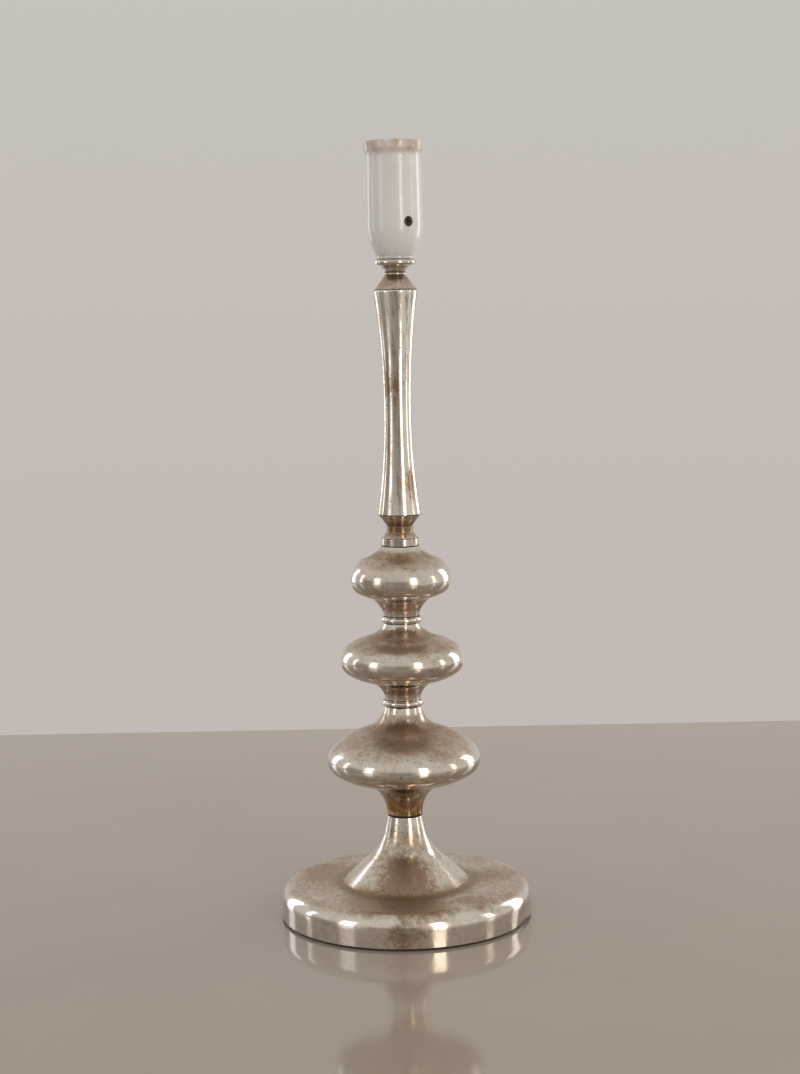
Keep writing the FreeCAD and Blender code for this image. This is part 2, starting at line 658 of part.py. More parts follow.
def shaft_cap():
    """Cone that closes the shaft, with a tiny bead at its tip."""
    spigot = SHAFT_TOP_HOLE - SPIGOT_FIT
    cone_top = SHAFT_TOP + CAP_CONE_HEIGHT
    bead_top = cone_top + CAP_BEAD_HEIGHT
    return turned([
        (STACK_BORE, SHAFT_TOP - CAP_SPIGOT_HEIGHT),
        (spigot, SHAFT_TOP - CAP_SPIGOT_HEIGHT),
        (spigot, SHAFT_TOP),
        (SHAFT_TOP_RADIUS - CAP_INSET, SHAFT_TOP),
        (CAP_NECK_RADIUS, cone_top),
        (DISH_FOOT_RADIUS, cone_top),
        Via(CAP_BEAD_RADIUS, (cone_top + bead_top) / 2),
        (DISH_FOOT_RADIUS, bead_top),
        (DISH_FOOT_RADIUS, CAP_TOP),
        (STACK_BORE, CAP_TOP),
    ])


def holder_dish():
    """Small round-edged tray under the lampholder, on a bowl-shaped stem."""
    half = DISH_RIM_HEIGHT / 2
    rim_bottom = HOUSING_BOTTOM - DISH_RIM_HEIGHT
    return turned([
        (STACK_BORE, CAP_TOP),
        (DISH_FOOT_RADIUS, CAP_TOP),
        (DISH_BOWL_RADIUS, rim_bottom - DISH_BOWL_LAND, DISH_BOWL_ROUND),
        (DISH_BOWL_RADIUS, rim_bottom),
        (DISH_RADIUS - half, rim_bottom),
        Via(DISH_RADIUS, rim_bottom + half),
        (DISH_RADIUS - half, HOUSING_BOTTOM),
        (STACK_BORE, HOUSING_BOTTOM),
    ])


# ---------------------------------------------------------------- lampholder
def housing_body():
    """Slim moulded cup: swelling foot, near-straight body and a thickened lip."""
    foot_top = HOUSING_BOTTOM + HOUSING_FOOT_LAND
    drop = HOUSING_SWELL - (HOUSING_BODY_RADIUS - HOUSING_FOOT_RADIUS)
    turn = math.acos(drop / HOUSING_SWELL)
    body_foot = foot_top + HOUSING_SWELL * math.sin(turn)
    centre = (HOUSING_BODY_RADIUS - HOUSING_SWELL, body_foot)
    lip_bottom = HOUSING_TOP - HOUSING_LIP_HEIGHT
    pocket = HOUSING_BOTTOM + ENTRY_FLOOR
    return turned([
        (STACK_BORE, HOUSING_BOTTOM),
        (HOUSING_FOOT_RADIUS, HOUSING_BOTTOM),
        (HOUSING_FOOT_RADIUS, foot_top),
        Via(*on_arc(centre, HOUSING_SWELL, -turn / 2)),
        (HOUSING_BODY_RADIUS, body_foot),
        (HOUSING_WAIST_RADIUS, lip_bottom - HOUSING_LIP_FLARE, HOUSING_LIP_FLARE),
        (HOUSING_LIP_RADIUS, lip_bottom, HOUSING_LIP_FLARE),
        (HOUSING_LIP_RADIUS, HOUSING_TOP, HOUSING_EDGE),
        (SOCKET_RADIUS, HOUSING_TOP, HOUSING_EDGE),
        (SOCKET_RADIUS, LEDGE),
        (CHAMBER_RADIUS, LEDGE),
        (CHAMBER_RADIUS, CHAMBER_BOTTOM),
        (ENTRY_BUSH_RADIUS + THREAD_FIT, CHAMBER_BOTTOM),
        (ENTRY_BUSH_RADIUS + THREAD_FIT, pocket),
        (STACK_BORE, pocket),
    ])


def holder_housing():
    housing = housing_body()
    level = HOUSING_BOTTOM + SIDE_HOLE_HEIGHT
    for angle in (SIDE_HOLE_ANGLE, SIDE_HOLE_ANGLE + BACK):
        wide = radial_cylinder(COUNTERBORE_RADIUS, COUNTERBORE_FLOOR, HOUSING_LIP_RADIUS,
                               level, angle)
        narrow = radial_cylinder(SIDE_HOLE_RADIUS, STACK_BORE, COUNTERBORE_FLOOR, level, angle)
        housing = housing.cut(wide).cut(narrow)
    return housing


def retaining_screw():
    """The screw at the back; the one at the front is missing."""
    level = HOUSING_BOTTOM + SIDE_HOLE_HEIGHT
    angle = SIDE_HOLE_ANGLE + BACK
    head_end = COUNTERBORE_FLOOR + RETAINING_HEAD_HEIGHT
    shank = radial_cylinder(RETAINING_SCREW_RADIUS, RETAINING_SCREW_REACH, COUNTERBORE_FLOOR,
                            level, angle)
    head = radial_cylinder(RETAINING_HEAD_RADIUS, COUNTERBORE_FLOOR, head_end, level, angle)
    return head.fuse(shank).removeSplitter()


def entry_bush():
    bottom = HOUSING_BOTTOM + ENTRY_FLOOR
    top = bottom + ENTRY_BUSH_HEIGHT
    return flat_ring(ENTRY_BUSH_RADIUS, TUBE_RADIUS + THREAD_FIT, bottom, top)


def shell_screw_places():
    return [(0.0, SHELL_SCREW_CIRCLE), (0.0, -SHELL_SCREW_CIRCLE)]


def contact_block():
    """Ceramic block: flange on the ledge and a plug into the wiring chamber."""
    flange = cylinder(SOCKET_RADIUS - BLOCK_FIT, LEDGE, BLOCK_TOP)
    plug = cylinder(CHAMBER_RADIUS - BLOCK_FIT, BLOCK_BOTTOM, LEDGE)
    block = flange.fuse(plug).removeSplitter()
    level = HOUSING_BOTTOM + SIDE_HOLE_HEIGHT
    for angle in (SIDE_HOLE_ANGLE, SIDE_HOLE_ANGLE + BACK):
        hole = radial_cylinder(RETAINING_SCREW_RADIUS + THREAD_FIT,
                               RETAINING_SCREW_REACH - THREAD_FIT, CHAMBER_RADIUS, level, angle)
        block = block.cut(hole)
    for x, y in shell_screw_places():
        low = BLOCK_TOP - SHELL_SCREW_LENGTH
        block = block.cut(cylinder(SHELL_SCREW_RADIUS + THREAD_FIT, low, BLOCK_TOP, x, y))
    block = block.cut(cylinder(RIVET_RADIUS + THREAD_FIT, BLOCK_BOTTOM, BLOCK_TOP, RIVET_PLACE))
    half = STRAP_WIDTH / 2 + STRAP_FIT
    outer = TERMINAL_OUTER - STRAP_INSET
    slot = box(outer - STRAP_THICKNESS - STRAP_FIT, outer + STRAP_FIT,
               -half, half, BLOCK_BOTTOM, BLOCK_TOP)
    return block.cut(slot)


def thread_line(skirt_top, wall):
    """Rolled thread as lands and round grooves, from the bottom up; a wall keeps centres."""
    half_groove = (SHELL_PITCH - SHELL_LAND) / 2
    depth = SHELL_MAJOR - SHELL_MINOR
    groove = (half_groove ** 2 + depth ** 2) / (2 * depth)
    reach = math.sqrt((groove + wall) ** 2 - (groove + wall - depth) ** 2)
    land = SHELL_MINOR + wall
    line = []
    for turn in range(SHELL_TURNS):
        middle = skirt_top + turn * SHELL_PITCH + SHELL_LAND + half_groove
        line.append((land, middle - reach))
        line.append(Via(SHELL_MAJOR + wall, middle))
        line.append((land, middle + reach))
    line.append((land, skirt_top + SHELL_TURNS * SHELL_PITCH + SHELL_LAND))
    return line


def thread_shell():
    """Thin sleeve with the E14 thread rolled in and a flange screwed to the block."""
    flange_top = BLOCK_TOP + SHELL_WALL
    skirt_top = BLOCK_TOP + SHELL_SKIRT
    outer_step = skirt_top + SHELL_WALL
    outer = thread_line(skirt_top, SHELL_WALL)
    inner = thread_line(skirt_top, 0.0)
    shell = turned([
        (SHELL_MAJOR, BLOCK_TOP),
        (SHELL_FLANGE_RADIUS, BLOCK_TOP),
        (SHELL_FLANGE_RADIUS, flange_top),
        (SHELL_MAJOR + SHELL_WALL, flange_top),
        (SHELL_MAJOR + SHELL_WALL, outer_step),
        (SHELL_MINOR + SHELL_WALL, outer_step),
        *outer,
        *inner[::-1],
        (SHELL_MINOR, skirt_top),
        (SHELL_MAJOR, skirt_top),
    ])
    for x, y in shell_screw_places():
        shell = shell.cut(cylinder(SHELL_SCREW_RADIUS + THREAD_FIT, BLOCK_TOP, flange_top, x, y))
    return shell


def shell_screws():
    screws = []
    for x, y in shell_screw_places():
        seat = BLOCK_TOP + SHELL_WALL
        tip = BLOCK_TOP - SHELL_SCREW_LENGTH + THREAD_FIT
        shank = cylinder(SHELL_SCREW_RADIUS, tip, seat, x, y)
        head = cylinder(SHELL_SCREW_HEAD_RADIUS, seat, seat + SHELL_SCREW_HEAD_HEIGHT, x, y)
        screws.append(head.fuse(shank).removeSplitter())
    return Part.makeCompound(screws)


def contact_root():
    """Flat riveted end of the spring contact."""
    root = box(STRIP_ROOT_END, STRIP_BEND - STRIP_BEND_GAP, -STRIP_WIDTH / 2, STRIP_WIDTH / 2,
               BLOCK_TOP, BLOCK_TOP + STRIP_THICKNESS)
    hole = cylinder(RIVET_RADIUS + THREAD_FIT, BLOCK_TOP, BLOCK_TOP + STRIP_THICKNESS, RIVET_PLACE)
    return root.cut(hole)


def contact_arm():
    """Rising arm of the spring contact, with a rounded tip under the bulb's button."""
    base = BLOCK_TOP + STRIP_THICKNESS / 2
    half = STRIP_THICKNESS / 2
    tip = STRIP_BEND + STRIP_ARM_LENGTH
    outer = STRIP_TIP_RADIUS + half
    inner = STRIP_TIP_RADIUS - half
    wire = outline_wire([
        (STRIP_BEND, base - half),
        (tip, base - half),
        Via(tip + inner * MID_ROUND, base - half - inner * (1 - MID_ROUND)),
        (tip + inner, base - half - inner),
        (tip + outer, base - half - inner),
        Via(tip + outer * MID_ROUND, base + half - outer * (1 - MID_ROUND)),
        (tip, base + half),
        (STRIP_BEND, base + half),
    ])
    arm = Part.Face(wire).extrude(FreeCAD.Vector(0, STRIP_WIDTH, 0))
    arm.translate(FreeCAD.Vector(0, -STRIP_WIDTH / 2, 0))
    arm.rotate(FreeCAD.Vector(STRIP_BEND, 0, base), FreeCAD.Vector(0, 1, 0), -STRIP_RISE_ANGLE)
    return arm


def contact_rivet():
    top = BLOCK_TOP + STRIP_THICKNESS
    bottom = BLOCK_BOTTOM - TERMINAL_PLATE
    shank = cylinder(RIVET_RADIUS, bottom, top, RIVET_PLACE)
    upper = cylinder(RIVET_HEAD_RADIUS, top, top + RIVET_HEAD_HEIGHT, RIVET_PLACE)
    lower = cylinder(RIVET_HEAD_RADIUS, bottom - RIVET_HEAD_HEIGHT, bottom, RIVET_PLACE)
    return shank.fuse([upper, lower]).removeSplitter()


def terminal(side):
    """Brass terminal under the block: a plate and a wire clamp with a screw hole."""
    half = TERMINAL_WIDTH / 2
    plate_bottom = BLOCK_BOTTOM - TERMINAL_PLATE
    body_bottom = BLOCK_BOTTOM - TERMINAL_DEPTH
    plate = box(TERMINAL_INNER, TERMINAL_OUTER, -half, half, plate_bottom, BLOCK_BOTTOM)
    clamp = box(TERMINAL_BODY_INNER, TERMINAL_OUTER, -half, half, body_bottom, BLOCK_BOTTOM)
    middle = (TERMINAL_BODY_INNER + TERMINAL_OUTER) / 2
    wire_hole = cylinder(WIRE_HOLE_RADIUS, body_bottom, plate_bottom, middle)
    screw_hole = terminal_screw_rod(middle, TERMINAL_SCREW_RADIUS + THREAD_FIT, 0.0, half)
    piece = plate.fuse(clamp).removeSplitter().cut(wire_hole).cut(screw_hole)
    if side < 0:
        piece = piece.mirror(FreeCAD.Vector(0, 0, 0), FreeCAD.Vector(1, 0, 0))
    return piece


def terminal_screw_rod(x, radius, inner, outer):
    start = FreeCAD.Vector(x, -inner, BLOCK_BOTTOM - TERMINAL_SCREW_DROP)
    return Part.makeCylinder(radius, outer - inner, start, FreeCAD.Vector(0, -1, 0))


def live_terminal():
    piece = terminal(-1)
    low = BLOCK_BOTTOM - TERMINAL_PLATE
    return piece.cut(cylinder(RIVET_RADIUS + THREAD_FIT, low, BLOCK_BOTTOM, RIVET_PLACE))


def neutral_terminal():
    """The strap on this one reaches up through the block to the shell's flange."""
    outer = TERMINAL_OUTER - STRAP_INSET
    strap = box(outer - STRAP_THICKNESS, outer, -STRAP_WIDTH / 2, STRAP_WIDTH / 2,
                BLOCK_BOTTOM, BLOCK_TOP)
    return terminal(1).fuse(strap).removeSplitter()


def terminal_screws():
    half = TERMINAL_WIDTH / 2
    middle = (TERMINAL_BODY_INNER + TERMINAL_OUTER) / 2
    screws = []
    for x in (-middle, middle):
        shank = terminal_screw_rod(x, TERMINAL_SCREW_RADIUS, half - TERMINAL_SCREW_LENGTH, half)
        head = terminal_screw_rod(x, TERMINAL_HEAD_RADIUS, half, half + TERMINAL_HEAD_HEIGHT)
        screws.append(head.fuse(shank).removeSplitter())
    return Part.makeCompound(screws)


# ---------------------------------------------------------------- all nodes
NODES = {
    "felt_pad": cylinder(BASE_RADIUS - FELT_INSET, 0.0, FELT_THICKNESS),
    "bottom_plate": bottom_plate(),
    "plate_screws": plate_screws(),
    "base_weight": base_weight(),
    "base_shell": base_shell(),
    "cord_bush": cord_bush(),
    "base_nut": hex_nut(),
    "base_lock_washer": lock_washer(),
    "base_washer": flat_ring(WASHER_RADIUS, STACK_BORE, WASHER_BOTTOM, RECESS_ROOF),
    "tie_tube": tie_tube(),
    "base_neck_ring": base_neck_ring(),
    "lower_knop": knop_shell(LOWER_KNOP, LOWER_KNOP_FOOT),
    "lower_bead_ring": bead_ring(LOWER_BEAD_RADIUS, LOWER_KNOP_TOP, LOWER_KNOP, MIDDLE_KNOP),
    "middle_knop": knop_shell(MIDDLE_KNOP, MIDDLE_KNOP_FOOT),
    "upper_bead_ring": bead_ring(UPPER_BEAD_RADIUS, MIDDLE_KNOP_TOP, MIDDLE_KNOP, UPPER_KNOP),
    "upper_knop": knop_shell(UPPER_KNOP, UPPER_KNOP_FOOT),
    "shaft_collar": shaft_collar(),
    "shaft_foot": shaft_foot(),
    "waisted_shaft": waisted_shaft(),
    "shaft_cap": shaft_cap(),
    "holder_dish": holder_dish(),
    "holder_housing": holder_housing(),
    "holder_entry_bush": entry_bush(),
    "retaining_screw": retaining_screw(),
    "contact_block": contact_block(),
    "thread_shell": thread_shell(),
    "shell_screws": shell_screws(),
    "contact_root": contact_root(),
    "contact_arm": contact_arm(),
    "contact_rivet": contact_rivet(),
    "live_terminal": live_terminal(),
    "neutral_terminal": neutral_terminal(),
    "terminal_screws": terminal_screws(),
}

os.makedirs("parts", exist_ok=True)
for name, shape in NODES.items():
    shape.exportStep("parts/" + name + ".step")
print(len(NODES), "nodes,", "height", round(HOUSING_TOP, 2))
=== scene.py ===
# %% [markdown]
# # A candlestick lamp in worn silver plate
#
# The lamp is a stack on one threaded tube: a weighted foot, three hollow knops with a bead
# between each two, a waisted shaft, a small dish and a moulded lampholder for a small
# screw cap. The CAD model gives every piece its true place and size. This script gives the
# pieces that show a finer surface and every piece its finish, and then lights the lamp.
#
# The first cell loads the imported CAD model. Nothing else is read from disk.

# %% Load the frame
import functools
import json
import math

import bmesh
import bpy
from mathutils import Matrix, Vector


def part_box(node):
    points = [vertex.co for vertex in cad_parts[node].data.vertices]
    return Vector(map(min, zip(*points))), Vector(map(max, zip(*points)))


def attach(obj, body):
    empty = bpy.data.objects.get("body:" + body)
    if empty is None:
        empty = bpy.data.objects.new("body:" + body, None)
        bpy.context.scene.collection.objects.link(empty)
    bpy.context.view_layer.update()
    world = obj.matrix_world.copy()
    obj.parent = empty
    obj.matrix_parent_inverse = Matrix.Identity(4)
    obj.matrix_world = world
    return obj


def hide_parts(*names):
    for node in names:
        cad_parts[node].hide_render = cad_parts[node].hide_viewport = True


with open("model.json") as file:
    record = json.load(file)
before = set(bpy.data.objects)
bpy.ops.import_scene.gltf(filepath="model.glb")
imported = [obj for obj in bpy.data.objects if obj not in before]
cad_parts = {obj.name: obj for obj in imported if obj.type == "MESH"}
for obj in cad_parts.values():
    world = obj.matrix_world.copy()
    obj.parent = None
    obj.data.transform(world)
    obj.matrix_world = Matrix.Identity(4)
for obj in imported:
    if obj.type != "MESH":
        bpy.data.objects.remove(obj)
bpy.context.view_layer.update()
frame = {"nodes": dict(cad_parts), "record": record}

MM = 0.001  # one millimetre in metres
scene = bpy.context.scene
scene.view_settings.view_transform = "Standard"

# %% [markdown]
# ## Camera
#
# The photograph was taken from the front, a little above the lamp's middle and a metre
# away, with the camera tipped 6.26 degrees down and 1.05 degrees round its own axis. The
# ellipses of the foot, the knops and the mouth give that. A focal length of 2000 of the
# 1074 pixels of the picture's height gives the lens.

# %% Camera
SENSOR_HEIGHT = 24.0  # mm
FOCAL_IN_HEIGHTS = 2000 / 1074
CAMERA_DISTANCE = 1.008  # in front of the lamp's axis, m
CAMERA_HEIGHT = 0.30635
CAMERA_TIP = 83.74  # 90 would be level
CAMERA_ROLL = -1.05

lens = bpy.data.cameras.new("camera")
lens.sensor_fit = "VERTICAL"
lens.sensor_height = SENSOR_HEIGHT
lens.lens = SENSOR_HEIGHT * FOCAL_IN_HEIGHTS
lens.clip_start = 0.01
camera = bpy.data.objects.new("camera", lens)
scene.collection.objects.link(camera)
tip = Matrix.Rotation(math.radians(CAMERA_TIP), 4, "X")
roll = Matrix.Rotation(math.radians(CAMERA_ROLL), 4, "Z")
camera.matrix_world = Matrix.Translation((0, -CAMERA_DISTANCE, CAMERA_HEIGHT)) @ tip @ roll
scene.camera = camera
print("lens", round(lens.lens, 2), "mm")

# %% [markdown]
# ## Two small helpers
#
# Colours are picked as sRGB hex values, but shaders work in linear light, so one
# function turns one into the other. Both shader trees and geometry trees are built node by
# node, so one function adds a node, sets its properties and fills or links its sockets. The
# inputs are listed in order, among the sockets that the node's settings leave in use, or
# they are named.

# %% Colour and node helpers
def linear(hex_colour):
    """sRGB hex such as "#B0A090" as linear RGBA."""
    parts = [int(hex_colour[i:i + 2], 16) / 255 for i in (1, 3, 5)]
    return tuple(c / 12.92 if c <= 0.04045 else ((c + 0.055) / 1.055) ** 2.4
                 for c in parts) + (1.0,)


def add(tree, kind, *inputs, **settings):
    """Add a node. An input is a value, a socket or a node, whose first output is taken.

    A dictionary among the inputs names its sockets, or gives their numbers.
    """
    node = tree.nodes.new(kind)
    for name, value in settings.items():
        setattr(node, name, value)
    live = [socket for socket in node.inputs if socket.enabled]
    given = {}
    for place, value in enumerate(inputs):
        given.update(value if isinstance(value, dict) else {place: value})
    for key, value in given.items():
        socket = live[key] if isinstance(key, int) else next(s for s in live if s.name == key)
        if isinstance(value, bpy.types.Node):
            value = next(s for s in value.outputs if s.enabled)
        if isinstance(value, bpy.types.NodeSocket):
            tree.links.new(value, socket)
        else:
            socket.default_value = value
    return node


print("sRGB mid grey is", round(linear("#808080")[0], 3), "in linear light")

# %% [markdown]
# ## Table
#
# The lamp stands on a smooth, softly polished table that mirrors it in long streaks. The
# table is part of the stage, not of the lamp. Its back edge is 0.47 m behind the lamp, where
# the photograph shows it. Faint noise in colour and gloss keeps it from looking like glass.

# %% Table
TABLE_HALF_WIDTH, TABLE_FRONT, TABLE_BACK = 1.3, -0.6, 0.47  # m

mesh = bpy.data.meshes.new("table")
mesh.from_pydata([(-TABLE_HALF_WIDTH, TABLE_FRONT, 0), (TABLE_HALF_WIDTH, TABLE_FRONT, 0),
                  (TABLE_HALF_WIDTH, TABLE_BACK, 0), (-TABLE_HALF_WIDTH, TABLE_BACK, 0)],
                 [], [(0, 1, 2, 3)])
table = bpy.data.objects.new("table", mesh)
scene.collection.objects.link(table)

print("table reaches", TABLE_BACK, "m behind the lamp")

# %% [markdown]
# A material starts from Blender's default shader. One function makes it and hands back what
# adds its nodes and the place on the piece, and another links what was made to the shader.
# Three more hold what the materials repeat: a weighed sum, layers of colour, and a place
# without its height.

# %% Start and finish of a material
NOISE, CELLS = "ShaderNodeTexNoise", "ShaderNodeTexVoronoi"
MATH, RANGE, MIX = "ShaderNodeMath", "ShaderNodeMapRange", "ShaderNodeMix"
VECTOR, SPLIT, JOIN = "ShaderNodeVectorMath", "ShaderNodeSeparateXYZ", "ShaderNodeCombineXYZ"
ATTRIBUTE, BUMP = "ShaderNodeAttribute", "ShaderNodeBump"
SOFT = {"interpolation_type": "SMOOTHSTEP"}  # a range with soft ends
COLOUR = {"data_type": "RGBA"}  # a mix of colours
TIMES = {"operation": "MULTIPLY"}
TIMES_PLUS = {"operation": "MULTIPLY_ADD"}  # the first by the second, plus the third


def new_material(name):
    material = bpy.data.materials.new(name)
    material.use_nodes = True
    put = functools.partial(add, material.node_tree)
    return material, put, put("ShaderNodeTexCoord").outputs["Object"]


def dress(material, **inputs):
    """Nodes or numbers for the shader's sockets, named with _ for a space."""
    for label, value in inputs.items():
        socket = material.node_tree.nodes["Principled BSDF"].inputs[label.replace("_", " ")]
        if isinstance(value, bpy.types.Node):
            made = next(output for output in value.outputs if output.enabled)
            material.node_tree.links.new(made, socket)
        else:
            socket.default_value = value


def weighed(put, total, *terms):
    """A total, and nodes times their weights added to it."""
    for node, weight in terms:
        total = put(MATH, node, weight, total, **TIMES_PLUS)
    return total


def layered(put, colour, *layers):
    """A colour with others laid over it, each by its share."""
    for share, over in layers:
        colour = put(MIX, share, colour, linear(over), **COLOUR)
    return colour


def flattened(put, place):
    """The parts of a place, and the same place at no height."""
    parts = put(SPLIT, place).outputs
    return parts, put(JOIN, parts["X"], parts["Y"])


# %% Varnish of the table
VARNISH_CLOUD = 0.06  # m

varnish, put, place = new_material("varnished_table")
cloud = put(NOISE, {"Vector": place, "Scale": 1 / VARNISH_CLOUD, "Detail": 5.0})
tint = layered(put, linear("#9A9088"), (cloud, "#A2988F"))
gloss = put(RANGE, cloud, 0.0, 1.0, 0.05, 0.11)
dress(varnish, Base_Color=tint, Roughness=gloss)
table.data.materials.append(varnish)
print("varnish:", len(varnish.node_tree.nodes), "nodes")

# %% [markdown]
# ## Light
#
# Polished metal shows the room, so the room is what gives this lamp its look. Each upright
# band on the shaft and each spot on a knop is a window or a dark corner, drawn thin. On a
# round piece, a band at a share s of the radius right of the middle shows what stands at
# a bearing of 2 asin(s) right of the camera. Reading the bands that way gives strong
# windows at 29 and 120 degrees to the right and 130 to the left, weaker ones between
# them, a light wall on the right, and a dark room behind the camera. Area lights stand
# for the windows, so they also light the table, at about the level at which colours render
# as they are written.

# %% Windows
def window(name, bearing, distance, low, high, width, brightness, colour):
    """Upright light facing the lamp; bearing is to the right of the front, sizes in m."""
    light = bpy.data.lights.new(name, "AREA")
    light.shape = "RECTANGLE"
    light.size, light.size_y = width, high - low
    light.energy = brightness * math.pi * width * (high - low)
    light.color = linear(colour)[:3]
    lamp = bpy.data.objects.new(name, light)
    scene.collection.objects.link(lamp)
    turn = math.radians(bearing)
    place = Vector((distance * math.sin(turn), -distance * math.cos(turn), (low + high) / 2))
    facing = (Vector((0, 0, place.z)) - place).to_track_quat("-Z", "Y").to_matrix().to_4x4()
    lamp.matrix_world = Matrix.Translation(place) @ facing


# Bearing, distance, lower and upper edge, width, brightness and colour
window("window_warm", 29, 1.6, 0.02, 1.05, 0.30, 6.0, "#FFE9D2")
window("window_back_right", 120, 1.5, 0.02, 1.0, 0.42, 3.2, "#FFFAF4")
window("window_side_right", 80, 1.6, 0.1, 0.9, 0.20, 1.8, "#FFF4E4")
window("window_back_left", -130, 1.5, 0.02, 0.9, 0.34, 2.4, "#F2F4FF")
window("window_side_left", -99, 1.6, 0.1, 0.9, 0.16, 1.8, "#F6F4F0")
window("window_front_left", -55, 1.6, 0.05, 0.95, 0.40, 1.5, "#F4F1EE")

# %% [markdown]
# The rest of the room is the world: a ramp of greys by bearing under a pale ceiling. The
# camera itself sees a plain pale wall instead.

# %% Room
# Bearing in degrees right of the front, and the grey of the wall there
WALLS = [(-180, "#D6D1CA"), (-110, "#D0CAC2"), (-88, "#9C948B"), (-68, "#A09890"),
         (-50, "#D2CDC6"), (-30, "#A59D94"), (8, "#989087"), (24, "#D8D2CA"),
         (90, "#DDD8D0"), (180, "#D6D1CA")]
CEILING, HAZE = (0.08, 0.32), (-0.1, 0.25)  # upward parts of the view, start and end

room = bpy.data.worlds.new("room")
room.use_nodes = True
scene.world = room
put = functools.partial(add, room.node_tree)
toward = put(SPLIT, put("ShaderNodeTexCoord").outputs["Generated"])
ahead = put(MATH, toward.outputs["Y"], -1.0, **TIMES)
bearing = put(MATH, toward.outputs["X"], ahead, operation="ARCTAN2")
share = put(MATH, bearing, 1 / math.tau, 0.5, **TIMES_PLUS)
walls = put("ShaderNodeValToRGB", share)
walls.color_ramp.interpolation = "EASE"
stops = walls.color_ramp.elements
while len(stops) < len(WALLS):
    stops.new(0.5)
for stop, (angle, grey) in zip(stops, WALLS):
    stop.position = angle / 360 + 0.5
    stop.color = linear(grey)
aloft = put(RANGE, toward.outputs["Z"], *CEILING, **SOFT)
shade = layered(put, walls, (aloft, "#D8D2C9"))
above = put(RANGE, toward.outputs["Z"], *HAZE)
plain = layered(put, linear("#C3BAB5"), (above, "#C9C5BF"))
seen = put("ShaderNodeLightPath").outputs["Is Camera Ray"]
shade = put(MIX, seen, shade, plain, **COLOUR)
room.node_tree.links.new(shade.outputs["Result"], room.node_tree.nodes["Background"].inputs[0])
print("wall greys:", len(WALLS))

# %% [markdown]
# ## Half sections
#
# Every turned piece is one outline spun round the lamp's axis. The CAD mesh already holds
# that outline: cut with the plane y = 0, it leaves a loop of edges at +x. Reading the loop
# from the frame keeps a piece exactly where the CAD has it. Then the outline gets what a
# lathe leaves and CAD does not: corners with a small radius, and a point on each side of a
# bend so that smooth shading stays flat along a straight run.

# %% Read a half section
WELD = 1e-6  # m
COLLINEAR = 0.0003  # mm, a point nearer than this to its neighbours' line goes
CORNER = math.radians(24)  # a sharper turn than this is a corner
HOLD = 0.25  # mm from a bend to the point that holds a straight run
LONG_RUN = 1.2  # mm, a run longer than this gets holding points
STEP = 2.0  # mm, longest step left on a straight run


def turn_at(before, here, after):
    """Signed turn of a path at a point, in radians, positive to the right."""
    back = (here - before).to_2d()
    ahead = (after - here).to_2d()
    return back.angle_signed(ahead, 0.0)


def half_section(node, to_axis=None):
    """Closed outline of a turned node at y = 0, x > 0, in mm, as 2-D vectors (r, z).

    to_axis is the matrix that brings a piece with an axis of its own upright first.
    """
    mesh = bmesh.new()
    mesh.from_mesh(frame["nodes"][node].data)
    mesh.transform(to_axis or Matrix())
    bmesh.ops.remove_doubles(mesh, verts=mesh.verts, dist=WELD)
    bmesh.ops.bisect_plane(mesh, geom=mesh.verts[:] + mesh.edges[:] + mesh.faces[:],
                           dist=WELD, plane_co=(0, 0, 0), plane_no=(0, 1, 0))
    near = {}
    for edge in mesh.edges:
        if all(abs(v.co.y) < WELD and v.co.x > -WELD for v in edge.verts):
            first, second = edge.verts
            near.setdefault(first, []).append(second)
            near.setdefault(second, []).append(first)
    start = next((v for v, others in near.items() if len(others) == 1), next(iter(near)))
    chain = [start]
    last, here = None, start
    while True:
        following = [v for v in near[here] if v is not last]
        if not following or following[0] is start:
            break
        last, here = here, following[0]
        chain.append(here)
    points = [Vector((v.co.x, v.co.z)) / MM for v in chain]
    mesh.free()
    area = sum(a.x * b.y - b.x * a.y for a, b in zip(points, points[1:] + points[:1]))
    return straightened(points if area > 0 else points[::-1])


def straightened(points):
    """The outline without the points that lie on a straight run."""
    kept = points[:]
    while True:
        fewer = []
        for i, here in enumerate(kept):
            before = fewer[-1] if fewer else kept[-1]
            run = kept[(i + 1) % len(kept)] - before
            aside = here - before
            if abs(run.x * aside.y - run.y * aside.x) > COLLINEAR * run.length:
                fewer.append(here)
        if len(fewer) == len(kept):
            return kept
        kept = fewer


print("base shell outline:", len(half_section("base_shell")), "points")

# %% [markdown]
# Each corner of the outline becomes a small arc. Points on curved runs are doubled with the
# four-point rule, which keeps the old points and puts each new one on the curve. Straight
# runs are cut into short steps, so that what is stored on the points can change along them.

# %% Finish a half section
ARC_STEPS = 4
SIDE_SHARE = 0.4  # most of the side beside it that an arc takes
GENTLE = math.radians(15)  # a curve turns less than this at each point
EVEN = 1.8  # and its steps differ by less than this factor


def softened(points, radius):
    """Corners rounded to a radius in mm, within the sides beside them."""
    soft = []
    for i, here in enumerate(points):
        before = points[i - 1]
        after = points[(i + 1) % len(points)]
        turn = turn_at(before, here, after)
        if abs(turn) < CORNER or radius == 0:
            soft.append(here)
            continue
        back = (before - here).normalized()
        ahead = (after - here).normalized()
        shorter = min((before - here).length, (after - here).length)
        reach = min(radius * math.tan(abs(turn) / 2), SIDE_SHARE * shorter)
        first = here + back * reach
        last = here + ahead * reach
        for step in range(ARC_STEPS + 1):
            share = step / ARC_STEPS
            soft.append(first * (1 - share) ** 2 + here * 2 * share * (1 - share)
                        + last * share ** 2)
    return soft


